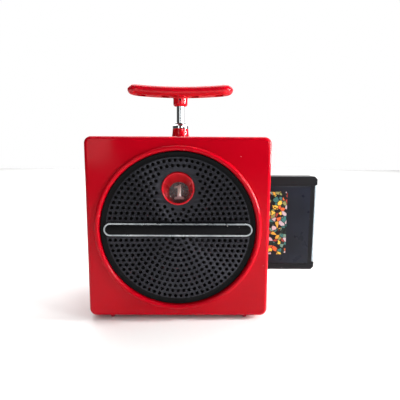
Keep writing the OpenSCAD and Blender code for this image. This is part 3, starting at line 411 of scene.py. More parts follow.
@dataclass(frozen=True)
class PrintedLabel(Finish):
    """Coated label paper: dark, with an abstract mosaic printed in a panel.

    Attributes:
        panel: The panel's edges: left and right in X, bottom and top in Z, in millimetres.
        tile_mm: Mean size of the mosaic's tiles.
        inks: The mosaic's colours.
        ink_line: Share of a tile that its dark outline takes.
        bend_mm: Size of the bends in the tiles' edges.
        bent_by_mm: How far these bends reach.
    """

    panel: tuple[float, float, float, float] = (0, 1, 0, 1)
    tile_mm: float = 5
    inks: tuple[str, ...] = ()
    ink_line: float = 0.07
    bend_mm: float = 11
    bent_by_mm: float = 7

    def in_panel(self, tree: Tree, place: Socket) -> Node:
        """1 inside the printed panel and 0 outside."""
        parts = add(tree, "SeparateXYZ", {"Vector": place}).outputs
        mask: Any = 1.0
        for edge, axis, test in zip(self.panel, "XXZZ", ("GREATER_THAN", "LESS_THAN") * 2):
            side = add(tree, "Math", {0: parts[axis], 1: edge * MM}, operation=test)
            mask = add(tree, "Math", {0: side, 1: mask}, operation="MULTIPLY")
        return mask

    def mosaic(self, tree: Tree, place: Socket) -> Node:
        """Tiles of the inks between dark lines, bent a little so that they look hand cut."""
        bend = add(tree, "TexNoise", {"Vector": place, "Scale": per_metre(self.bend_mm), "Detail": 2.0})
        shift: Sockets = {0: bend.outputs["Color"], 1: (self.bent_by_mm * MM,) * 3, 2: place}
        bent = add(tree, "VectorMath", shift, operation="MULTIPLY_ADD")
        where = {"Vector": bent, "Scale": per_metre(self.tile_mm)}
        tiles = add(tree, "TexVoronoi", where)
        picks = add(tree, "SeparateColor", {"Color": tiles.outputs["Color"]})
        stops = [(i / len(self.inks), paint(ink)) for i, ink in enumerate(self.inks)]
        colours = add(tree, "ValToRGB", {"Fac": picks}, stops=stops)
        colours.color_ramp.interpolation = "CONSTANT"
        gaps = add(tree, "TexVoronoi", where, feature="DISTANCE_TO_EDGE")
        line = add(tree, "Math", {0: gaps, 1: self.ink_line}, operation="LESS_THAN")
        outlined: Sockets = {0: line, MIX_A: colours, MIX_B: paint(INK_LINE)}
        return add(tree, "Mix", outlined, data_type="RGBA")

    def colour(self, tree: Tree, place: Socket) -> Node:
        """The dark paper, with the mosaic in its panel."""
        printed: Sockets = {0: self.in_panel(tree, place), MIX_A: super().colour(tree, place)}
        return add(tree, "Mix", printed | {MIX_B: self.mosaic(tree, place)}, data_type="RGBA")


GRILLE_CENTRE = (0.0, 92.2)  # X and Z in millimetres

# Glossy red ABS, injection moulded: deep colour under a polished skin that mirrors the lamps.
RED_CASE = MouldedPlastic(
    "red_moulded_abs", "red_abs", "#c6021a", "#bb0217", drift_mm=60, rough=0.12, rough_swing=0.05,
    smudge_mm=40, grain_mm=1.8, grain_um=2.5, gloss=0.15, wear=0.08, edge_mm=0.4, dust=0.08,
)  # fmt: skip
# The same ABS in a part with a higher polish, handled often.
RED_GRIP = MouldedPlastic(
    "red_polished_abs", "red_abs", "#cf031b", "#c20218", drift_mm=30, rough=0.13, rough_swing=0.04,
    smudge_mm=18, grain_mm=2.0, grain_um=1.5, gloss=0.4, wear=0.0, edge_mm=0.3, dust=0.03,
    matt_below=0.6,
)  # fmt: skip
# The feet are a darker, duller red, and their edges pale where they rub.
DARK_FEET = MouldedPlastic(
    "dark_red_abs", "dark_red_abs", "#7d0612", "#5f0510", rough=0.4, wear=0.2, worn="#a63a40", dust=0.2,
)  # fmt: skip
# Black plastic turned on a lathe: the circular cut throws light in two sectors.
GRILLE_BLACK = TurnedPlastic(
    "turned_black_plastic", "black_grille", "#08080a", "#0c0c10", drift_mm=50, rough=0.42,
    rough_swing=0.05, grain_mm=0.5, grain_um=1.2, gloss=0.65, centre=GRILLE_CENTRE, anisotropy=0.95,
    sheen_tint="#e0e0f0",
)  # fmt: skip
# The rim of the same disc wasn't cut: smooth black plastic.
RIM_BLACK = MouldedPlastic(
    "smooth_black_rim", "black_grille", "#060607", "#0a0a0c", rough=0.3, rough_swing=0.05, wear=0.0,
    grain_um=1.5, dust=0.1, gloss=0.12, scratch=0.2,
)  # fmt: skip
# Black moulding whose gloss fine scratches keep low, so that the line on it stands out.
PLATE_BLACK = MouldedPlastic(
    "black_gloss_plate", "black_plate", "#08080a", "#0d0d10", rough=0.22, rough_swing=0.06, wear=0.1,
    worn="#54565c", grain_um=1.5, dust=0.12, gloss=0.1, scratch=0.4,
)  # fmt: skip
# Hot-stamped foil: bright metal with a slightly broken surface.
TRIM_FOIL = Finish(
    "hot_stamped_foil", "bright_trim", "#c3c8cb", "#9ba3a8", drift_mm=12, rough=0.33, rough_swing=0.1,
    smudge_mm=3, grain_mm=0.4, grain_um=3, metallic=1,
)  # fmt: skip
# Bright chromium plate on a turned part: a mirror with a cool tint and faint wiping haze.
CHROME = Finish(
    "chromium_plate", "bright_trim", "#e2e6e8", "#d2d8db", drift_mm=9, rough=0.1, rough_swing=0.04,
    smudge_mm=4, grain_mm=0.6, grain_um=0.4, metallic=1,
)  # fmt: skip
# Clear acrylic: the numeral shows through it, and the dome still mirrors the lamps.
LENS = ClearAcrylic(
    "clear_acrylic", "clear_lens", "#dfe4e4", "#cfd6d6", rough=0.06, rough_swing=0.04, smudge_mm=5,
    grain_um=0.2, ior=1.49, gloss=0.7, coat=0.4,
)  # fmt: skip
# Black lacquer: dark and glossy, so that the numerals on it read well.
DISC_BLACK = Finish(
    "black_lacquer", "disc_black", "#0d0e10", "#1c1f22", drift_mm=7, rough=0.24, rough_swing=0.1,
    smudge_mm=5, grain_um=2, coat=0.4,
)  # fmt: skip
# Screen-printed cream ink: pale, matt and even.
NUMERAL_PAINT = Finish(
    "cream_screen_print", "cream_paint", "#fbf6f0", "#ece3da", drift_mm=4, rough=0.5, grain_mm=0.4,
    grain_um=6,
)  # fmt: skip
# Textured black styrene: a fine spark-eroded grain that keeps the gloss low.
CARTRIDGE_BLACK = MouldedPlastic(
    "black_textured_styrene", "black_abs", "#0b0b0f", "#121217", rough=0.4, rough_swing=0.08,
    grain_mm=0.5, grain_um=9, gloss=0.2, wear=0.12, worn="#4c4f58", dust=0.3, dust_mm=4,
    speck_mm=0.16, scratch=0.6,
)  # fmt: skip
# A pale, slightly blue strip on the cartridge's end: a painted highlight, standing for the light that the
# end catches.
END_HIGHLIGHT_PAINT = Finish(
    "pale_painted_end_highlight", "label_paper", "#bccbd3", "#adbdc6", drift_mm=12, rough=0.35, rough_swing=0.1,
    grain_mm=0.4, grain_um=1.5,
)  # fmt: skip
# Black ABS with a satin grain, a little paler at rubbed edges.
BLACK_ABS = MouldedPlastic(
    "black_moulded_abs", "black_abs", "#151517", "#202023", rough=0.38, grain_mm=0.7, grain_um=7,
    wear=0.2, worn="#55565a", dust=0.1,
)  # fmt: skip
# Dark grey ABS: fingers have rubbed the ribs of the wheels pale.
WHEEL_ABS = MouldedPlastic(
    "grey_wheel_abs", "wheel_abs", "#2c2c2f", "#38383b", rough=0.42, grain_um=6, wear=0.5,
    worn="#77787c", dust=0.1,
)  # fmt: skip
# Zinc plate: grey crystals under brushed lines give a soft, broken shine.
ZINC = RolledSheet(
    "zinc_plated_sheet", "zinc_steel", "#a8abac", "#8d9294", rough=0.36, rough_swing=0.1, smudge_mm=9,
    grain_mm=0.35, grain_um=2.5, metallic=1,
)  # fmt: skip
# Blackened steel: dark, with a dull metal shine.
BLACKENED = Finish(
    "blackened_steel", "dark_pin", "#1d1d1f", "#2b2a29", rough=0.4, grain_um=3, metallic=1,
)  # fmt: skip
# Turned brass: warm yellow, with darker tarnish in patches.
BRASS = Finish(
    "turned_brass", "brass", "#c9a45a", "#a9803f", drift_mm=8, rough=0.28, rough_swing=0.1, grain_mm=0.4,
    grain_um=2, metallic=1,
)  # fmt: skip
# Cast zinc alloy: dull grey, with the skin of the mould.
ALLOY = Finish(
    "cast_zinc_alloy", "alloy", "#9b9da0", "#7f8285", drift_mm=10, rough=0.5, grain_mm=0.6, grain_um=12,
    metallic=1,
)  # fmt: skip
# Pressed board: dark brown, matt and fibrous.
FIBREBOARD = Finish(
    "pressed_fibreboard", "fibreboard", "#17120e", "#0f0c0a", drift_mm=3, rough=0.85, grain_mm=0.6,
    grain_um=40,
)  # fmt: skip
# Felted paper: nearly black, with no shine.
CONE_PAPER = Finish(
    "felted_paper", "paper_cone", "#1d1c1c", "#2a2827", drift_mm=5, rough=0.9, grain_mm=0.5, grain_um=35,
)  # fmt: skip
# Sintered ferrite: dark grey and matt, like fired clay.
FERRITE = Finish(
    "sintered_ferrite", "ferrite", "#2b2b2d", "#3a3a3c", drift_mm=4, rough=0.6, grain_mm=0.5, grain_um=15,
)  # fmt: skip
# Neoprene: black and matt.
BELT = Finish("neoprene_belt", "belt_rubber", "#141414", "#1f1f1f", drift_mm=6, rough=0.75, grain_um=10)
# Circuit board: olive green under satin varnish.
LAMINATE = Finish(
    "circuit_laminate", "circuit_laminate", "#5b6a2d", "#46561f", drift_mm=9, rough=0.4, grain_mm=0.4,
    grain_um=4,
)  # fmt: skip
# Blue plastic sleeves with a satin gloss.
CANS = Finish("sleeved_cans", "component_cases", "#22306b", "#2e3f86", drift_mm=6, rough=0.35, grain_um=3)
# Stamped cases under a dull tan lacquer.
POTS = Finish("stamped_pot_cases", "pot_cases", "#8f8672", "#776e5b", drift_mm=6, rough=0.45, grain_um=5)
# The edges of many turns of tape: brown satin.
TAPE_PACK = Finish("wound_tape_pack", "tape", "#3a241a", "#2a1912", drift_mm=4, rough=0.35, grain_mm=0.3)


# ---- surface helpers ----


def grid_faces(rows: int, columns: int, wrap: bool) -> np.ndarray:
    """Four-cornered faces of a grid of points, row by row.

    Args:
        rows: Points along the first parameter.
        columns: Points along the second parameter.
        wrap: Whether the last column joins the first.

    Returns:
        An array of shape (faces, 4) of point numbers.
    """
    i = np.arange(rows - 1)[:, None]
    j = np.arange(columns if wrap else columns - 1)[None, :]
    k = (j + 1) % columns
    corners = [i * columns + j, i * columns + k, (i + 1) * columns + k, (i + 1) * columns + j]
    return np.stack(np.broadcast_arrays(*corners), axis=-1).reshape(-1, 4)


def put(name: str, data: bpy.types.ID) -> Piece:
    """Makes an object of this data and links it to the scene."""
    made = bpy.data.objects.new(name, data)
    bpy.context.scene.collection.objects.link(made)
    return made


def mesh_piece(name: str, points: np.ndarray, faces: np.ndarray, scale: float = MM) -> Piece:
    """Makes a closed piece of points and faces, with outward normals and smooth curves.

    Args:
        name: The piece's name.
        points: Points of shape (count, 3).
        faces: Point numbers of shape (faces, corners).
        scale: What turns the points to metres.

    Returns:
        The new object, linked to the scene.
    """
    mesh = bpy.data.meshes.new(name)
    mesh.from_pydata((points * scale).tolist(), [], faces.tolist())
    heal(mesh, SHARP)
    return put(name, mesh)


def heal(mesh: bpy.types.Mesh, smooth: float) -> None:
    """Joins seams and poles, drops empty faces, turns faces outwards and smooths curves.

    Args:
        mesh: The mesh to change.
        smooth: Edges that turn by more degrees than this stay sharp.
    """
    work = bmesh.new()
    work.from_mesh(mesh)
    bmesh.ops.remove_doubles(work, verts=work.verts, dist=1e-6)
    bmesh.ops.dissolve_degenerate(work, edges=work.edges, dist=1e-7)
    bmesh.ops.recalc_face_normals(work, faces=work.faces)
    work.to_mesh(mesh)
    work.free()
    mesh.shade_smooth()
    mesh.set_sharp_from_angle(angle=math.radians(smooth))


def rounded(path: Sequence[Point], size: float, steps: int = 5) -> np.ndarray:
    """Rounds every corner of a closed outline.

    Each corner P between the points A and C becomes the curve
    (1 - t)^2 A' + 2 t (1 - t) P + t^2 C', where A' and C' lie at size from P, or at just
    under half a side, so that two rounds never meet.

    Args:
        path: The outline's corners.
        size: Distance from a corner at which its round starts.
        steps: Points on each round.

    Returns:
        The rounded outline, of shape (corners * steps, 2).
    """
    corner = np.asarray(path, float)
    before = np.roll(corner, 1, axis=0) - corner
    after = np.roll(corner, -1, axis=0) - corner
    start, end = (
        corner + np.minimum(size / np.linalg.norm(side, axis=1), 0.48)[:, None] * side
        for side in (before, after)
    )
    t = np.linspace(0, 1, steps)[None, :, None]
    curve = (1 - t) ** 2 * start[:, None] + 2 * t * (1 - t) * corner[:, None] + t**2 * end[:, None]
    return curve.reshape(-1, 2)


def rectangle(left: float, low: float, right: float, high: float) -> list[Point]:
    """The corners of a rectangle."""
    return [(left, low), (right, low), (right, high), (left, high)]


def arc(centre: Point, radius: float, start: float, end: float, count: int = 14) -> np.ndarray:
    """Points on a circle from one angle to another, in degrees."""
    angle = np.radians(np.linspace(start, end, count))
    return np.stack([centre[0] + radius * np.cos(angle), centre[1] + radius * np.sin(angle)], axis=1)


def turned(
    name: str, profile: np.ndarray, axis: Axis, centre: Point = (0, 0), segments: int = 96,
    lean: Callable[[np.ndarray], np.ndarray] | None = None,
) -> Piece:  # fmt: skip
    """Turns a closed profile about an axis.

    A profile point (radius, place) goes to centre + radius (cos a, sin a) across the axis
    and to place along it, for every angle a.

    Args:
        name: The piece's name.
        profile: Radius and place along the axis, of shape (count, 2), closed at its end.
        axis: The axis that the profile turns about.
        centre: Where the axis stands: X and Z for a depth axis, X and Y for an upright one.
        segments: Steps round the axis.
        lean: How far the centre moves in the second direction at each place.

    Returns:
        The new piece.
    """
    closed = np.concatenate([profile, profile[:1]])
    angle = np.arange(segments) * 2 * math.pi / segments
    radius, place = closed[:, :1], closed[:, 1:]
    shift = lean(place) if lean else 0 * place
    first = centre[0] + radius * np.cos(angle)
    second = centre[1] + shift + radius * np.sin(angle)
    along = np.broadcast_to(place, first.shape)
    order = (first, along, second) if axis is Axis.DEPTH else (first, second, along)
    points = np.stack(order, axis=-1).reshape(-1, 3)
    return mesh_piece(name, points, grid_faces(len(closed), segments, True))


def flat_shape(
    name: str, outlines: Sequence[np.ndarray], front: float, thickness: float, bevel: float
) -> Piece:
    """A flat piece facing the front, cut to outlines, with bevelled edges.

    The outlines are filled where an odd number of them lie round a point, so an outline
    inside another is a hole. The piece spans from front to front + thickness in Y.

    Args:
        name: The piece's name.
        outlines: Closed outlines in X and Z, each of shape (count, 2).
        front: Y of the front face.
        thickness: Thickness of the piece.
        bevel: Width of the bevel on all edges; a hole's outline is its mouth.

    Returns:
        The new piece.
    """
    curve = bpy.data.curves.new(name, "CURVE")
    curve.dimensions = "2D"
    curve.fill_mode = "BOTH"
    curve.extrude = (thickness / 2 - bevel) * MM
    curve.bevel_depth = bevel * MM
    curve.bevel_resolution = 1
    for outline in outlines:
        spline, count = curve.splines.new("POLY"), len(outline)
        spline.points.add(count - 1)
        spline.points.foreach_set("co", np.c_[outline * MM, np.zeros(count), np.ones(count)].ravel())
        spline.use_cyclic_u = True
    drawn = put(name, curve)
    mesh = evaluated(drawn)
    bpy.data.objects.remove(drawn)
    mesh.name = name
    # The curve was drawn in X and Y: stand it up, with its middle behind the front.
    middle = (front + thickness / 2) * MM
    mesh.transform(Matrix(((1, 0, 0, 0), (0, 0, -1, middle), (0, 1, 0, 0), (0, 0, 0, 1))))
    heal(mesh, SHARP_FLAT)
    return put(name, mesh)


def evaluated(piece: Piece) -> bpy.types.Mesh:
    """A new mesh of the piece's shape, with its modifiers."""
    return bpy.data.meshes.new_from_object(piece.evaluated_get(bpy.context.evaluated_depsgraph_get()))


def apply_modifiers(piece: Piece) -> None:
    """Puts the result of the piece's modifiers into its mesh."""
    mesh = evaluated(piece)
    piece.modifiers.clear()
    piece.data = mesh


def combine(piece: Piece, tools: Sequence[Piece], operation: str) -> None:
    """Joins tools to a piece or cuts them out of it, and removes them.

    Args:
        piece: The closed piece to change.
        tools: Closed pieces.
        operation: "UNION" or "DIFFERENCE".
    """
    for tool in tools:
        step = piece.modifiers.new(tool.name, "BOOLEAN")
        step.operation, step.object, step.solver = operation, tool, "EXACT"
    apply_modifiers(piece)
    for tool in tools:
        bpy.data.objects.remove(tool)


@dataclass
class SubAssembly:
    """A group of pieces, with what it needs to put them on the frame.

    Attributes:
    """

    frame: dict[str, Any]

    def corners(self, node: str) -> tuple[np.ndarray, np.ndarray]:
        """Lowest and highest corner of a node of the frame, in millimetres."""
        low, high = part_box(node)
        return np.array(low) / MM, np.array(high) / MM

    def coat(self, piece: Piece, finish: Finish) -> None:
        """Gives a piece its finish as its only material."""
        piece.data.materials.clear()
        piece.data.materials.append(finish.material())

    def fit(self, piece: Piece, finish: Finish, *nodes: str, body: Body = Body.CASE) -> None:
        """Dresses a new piece, sets it on its body and lets it stand for nodes.

        Args:
            piece: The new piece.
            finish: Its finish.
            *nodes: Nodes of the frame that it stands for.
            body: The body that it rides on.
        """
        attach(piece, body.value)
        self.coat(piece, finish)
        if nodes:
            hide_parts(*nodes)
        LOG.info("%s: %d faces", piece.name, len(piece.data.polygons))

    def dress(self, finish: Finish, *nodes: str) -> None:
        """Gives nodes of the frame their finish and keeps their shape."""
        for node in nodes:
            self.coat(self.frame["nodes"][node], finish)
            LOG.info("%s: frame node", node)

    def softened(self, node: str, name: str, width: float) -> Piece:
        """A copy of a node whose sharp edges are rounded.

        Args:
            node: The node to copy.
            name: The copy's name.
            width: Width of the round in millimetres.

        Returns:
            The new piece, which isn't on a body yet.
        """
        source = self.frame["nodes"][node].data
        points = np.empty(len(source.vertices) * 3, np.float32)
        source.vertices.foreach_get("co", points)
        faces = np.empty(len(source.loops), np.int32)
        source.loops.foreach_get("vertex_index", faces)
        piece = mesh_piece(name, points.reshape(-1, 3), faces.reshape(-1, 3), scale=1)
        work = bmesh.new()
        work.from_mesh(piece.data)
        # Triangles of one flat face become that face, so that the round only finds real edges.
        flat = math.radians(0.5)
        bmesh.ops.dissolve_limit(work, angle_limit=flat, verts=work.verts, edges=work.edges, delimit=set())
        work.to_mesh(piece.data)
        work.free()
        bevel = piece.modifiers.new("softened edges", "BEVEL")
        bevel.width = width * MM
        bevel.segments = 3
        bevel.limit_method = "ANGLE"
        bevel.angle_limit = math.radians(SHARP)
        bevel.use_clamp_overlap = False
        bevel.harden_normals = True
        apply_modifiers(piece)
        return piece

    def build(self) -> None:
        """Builds and dresses the group's pieces."""
        raise NotImplementedError


# ---- sub-assemblies ----


@dataclass
class Grille(SubAssembly):
    """The perforated disc, the plate across it and the plate's bright line.

    Attributes:
        rim: Width of the smooth rim.
        face: Y of the disc's front.
        pitch: Distance from one circle of holes to the next.
        window_rise: Height of the window's middle above the disc's.
        window_hole: Radius of the disc's hole for the window.
        window_clear: Distance that the holes' middles keep from the window's.
        plate: Length and height of the plate.
        plate_clear: Distance that the holes' middles keep from the plate.
        line_in: Distance of the bright line from the plate's edge.
    """

    centre: Point = GRILLE_CENTRE
    radius: float = 75.8
    rim: float = 5.6
    face: float = -53.0
    thickness: float = 2.0
    hole: float = 1.7
    pitch: float = 5.18
    circles: int = 13
    chamfer: float = 0.18
    window_rise: float = 40.2
    window_hole: float = 16.1
    window_clear: float = 20.8
    plate: Point = (146.2, 14.6)
    plate_t: float = 1.6
    plate_clear: float = 0.7
    line_in: float = 1.05
    line_w: float = 1.2
    line_t: float = 0.4

    def stadium(self, length: float, height: float) -> np.ndarray:
        """An outline with round ends about the grille's middle."""
        half, radius = (length - height) / 2, height / 2
        x, z = self.centre
        right = arc((x + half, z), radius, -90, 90, 25)
        left = arc((x - half, z), radius, 90, 270, 25)
        return np.concatenate([right, left])

    def hole_places(self) -> np.ndarray:
        """Middles of the holes: circle n has six times n of them, clear of plate and window."""
        counts = 6 * np.arange(1, self.circles + 1)
        circle = np.repeat(counts // 6, counts)
        first = np.repeat(np.cumsum(counts) - counts, counts)
        angle = (np.arange(len(circle)) - first) * 2 * math.pi / (6 * circle)
        places = (circle * self.pitch)[:, None] * np.stack([np.cos(angle), np.sin(angle)], axis=1)
        clear_plate = np.abs(places[:, 1]) > self.plate[1] / 2 + self.plate_clear
        to_window = np.linalg.norm(places - [0, self.window_rise], axis=1)
        return places[clear_plate & (to_window > self.window_clear)] + self.centre

    def build(self) -> None:
        """Builds the disc with bevelled holes, its rounded rim, the plate and the line."""
        x, z = self.centre
        inner = self.radius - self.rim
        holes = [arc(tuple(p), self.hole + self.chamfer, 0, 337.5, 16) for p in self.hole_places()]
        window = arc((x, z + self.window_rise), self.window_hole + self.chamfer, 0, 355, 72)
        outlines = [arc(self.centre, inner, 0, 358, 180), window, *holes]
        disc = flat_shape("grille_disc", outlines, self.face, self.thickness, self.chamfer)
        self.fit(disc, GRILLE_BLACK, "grille")
        r, y0, y1 = self.radius, self.face, self.face + self.thickness
        # Outwards: a lap over the disc's edge, a shallow dish, a low step and the round outer edge.
        profile = np.concatenate([
            [(inner - 0.3, y1), (inner - 0.3, y0 + 0.05), (inner + 0.5, y0)],
            [(r - 1.9, y0 + 0.12), (r - 1.5, y0 - 0.06)],
            arc((r - 0.8, y0 + 0.7), 0.8, 250, 360, 10),
            [(r, y1)],
        ])  # fmt: skip
        rim = turned("grille_rim", profile, Axis.DEPTH, self.centre, 180)
        self.fit(rim, RIM_BLACK, "grille")
        front = y0 - self.plate_t
        bar = flat_shape("name_plate_blank", [self.stadium(*self.plate)], front, self.plate_t, 0.3)
        self.fit(bar, PLATE_BLACK, "nameplate")
        outer = [side - 2 * self.line_in for side in self.plate]
        inside = [side - 2 * self.line_w for side in outer]
        ring = [self.stadium(*outer), self.stadium(*inside)]
        line = flat_shape("plate_bright_line", ring, front - self.line_t, self.line_t, 0.12)
        self.fit(line, TRIM_FOIL, "nameplate_trim")


@dataclass
class Window(SubAssembly):
    """The leaning funnel, its lens, and the numerals on the disc behind it.

    Attributes:
        drop: How far the lens's middle lies below the mouth's.
        front: Y of the funnel's lip.
        lip_r: Radius of the round on that lip.
        flange: How far the flange reaches out from the mouth's radius.
        flange_y: Y of the flange's front and back.
        seat: How far the lens reaches into the funnel's wall.
        crown: How far the lens bulges.
        number_r: Distance of a numeral's middle from the disc's axis.
        number_t: Thickness of the paint, thicker than real so that it shows.
    """

    mouth_z: float = 132.4
    mouth_r: float = 15.6
    drop: float = 6.0
    front: float = -54.8
    lip_r: float = 0.7
    flange: float = 2.7
    flange_y: Point = (-50.9, -49.0)
    lens_front: float = -32.0
    lens_t: float = 1.2
    lens_r: float = 10.4
    seat: float = 0.6
    crown: float = 0.6
    wall: float = 1.2
    number_r: float = 17.0
    number_t: float = 0.25
    disc_front: float = -29.8

    def lean(self, place: np.ndarray) -> np.ndarray:
        """The funnel's middle falls evenly from the mouth to the lens."""
        share = (place - self.front) / (self.lens_front - 1 - self.front)
        return -self.drop * np.clip(share, 0, 1)

    def digits(self) -> list[list[np.ndarray]]:
        """Outlines of 1 (slab serifs, a line down its stem), 2, 3 (thick arcs) and 4 (slab serifs)."""
        one = [(-4.9, -7.5), (4.9, -7.5), (4.9, -5.4), (1.9, -4.9), (1.9, 7.5), (0.3, 7.5), (-1.3, 6.0),
               (-4.7, 4.9), (-4.7, 3.7), (-1.9, 4.0), (-1.9, -4.9), (-4.9, -5.4)]  # fmt: skip
        foot = [(-0.2, -4.9), (4.6, -4.9), (4.6, -7.5), (-4.6, -7.5), (-4.6, -5.2)]
        two = [arc((0, 3.2), 4.3, 175, -38), foot, arc((0, 3.2), 1.6, -38, 175)]
        three = [arc((0, 3.4), 4.1, 165, -42), arc((0, -3.3), 4.2, 42, -165), arc((0, -3.3), 1.7, -165, 90),
                 [(-1.3, -1.6), (-1.3, 1.5)], arc((0, 3.4), 1.7, -90, 165)]  # fmt: skip
        four = [(0.9, 7.5), (3.4, 7.5), (3.4, -1.3), (4.9, -1.3), (4.9, -3.6), (3.4, -3.6), (3.4, -5.4),
                (4.6, -5.6), (4.6, -7.5), (-0.8, -7.5), (-0.8, -5.6), (0.7, -5.4), (0.7, -3.6),
                (-4.9, -3.6), (-4.9, -1.6)]  # fmt: skip
        return [
            [rounded(one, 0.5), rounded(rectangle(0.35, -5.6, 0.85, 6.6), 0.1)], [np.concatenate(two)],
            [np.concatenate(three)], [rounded(four, 0.3), np.array([(0.7, 3.8), (0.7, -1.3), (-2.6, -1.3)])],
        ]  # fmt: skip

    def build(self) -> None:
        """Builds funnel, lens and numerals, and dresses the disc."""
        mouth, r = self.mouth_r, self.lens_r + self.seat
        y0, y1 = self.lens_front, self.lens_front + self.lens_t
        # The seat stands 0.03 off the lens's edge and 0.02 off its front.
        bore = [(mouth - self.wall, self.front + 0.9), (self.lens_r, y0 - 0.02), (r + 0.03, y0 - 0.01),
                (r + 0.03, y1)]  # fmt: skip
        rim, (flange0, flange1) = mouth + self.flange, self.flange_y
        outside = [(r + self.wall, y1), (r + self.wall, y0 - 1), (mouth - 0.2, flange1), (rim, flange1),
                   (rim, flange0), (mouth, flange0)]  # fmt: skip
        lip = arc((mouth - self.lip_r, self.front + self.lip_r), self.lip_r, 0, -180, 12)
        profile = np.concatenate([bore, outside, lip])
        funnel = turned("window_funnel", profile, Axis.DEPTH, (0, self.mouth_z), 128, self.lean)
        self.fit(funnel, RED_GRIP, "window_cup")
        lens_z = self.mouth_z - self.drop
        radii = np.linspace(0, r - 0.5, 12)
        crown = np.stack([radii, y0 - self.crown * (1 - (radii / r) ** 2)], axis=1)
        profile = np.concatenate([crown, [(r, y0 + 0.3), (r, y1), (0, y1)]])
        lens = turned("window_lens_dome", profile, Axis.DEPTH, (0, lens_z))
        self.fit(lens, LENS, "window_lens")
        shaft = np.array([0, lens_z + self.number_r])
        outlines = []
        for angle, digit in zip((0, -90, 180, 90), self.digits()):
            turn = math.radians(angle)
            spin = np.array([[math.cos(turn), math.sin(turn)], [-math.sin(turn), math.cos(turn)]])
            outlines += [(part - [0, self.number_r]) @ spin + shaft for part in digit]
        front = self.disc_front - self.number_t
        numerals = flat_shape("disc_numerals", outlines, front, self.number_t, 0.06)
        self.fit(numerals, NUMERAL_PAINT, "numerals", body=Body.PROGRAMME)
        self.dress(DISC_BLACK, "number_disc")


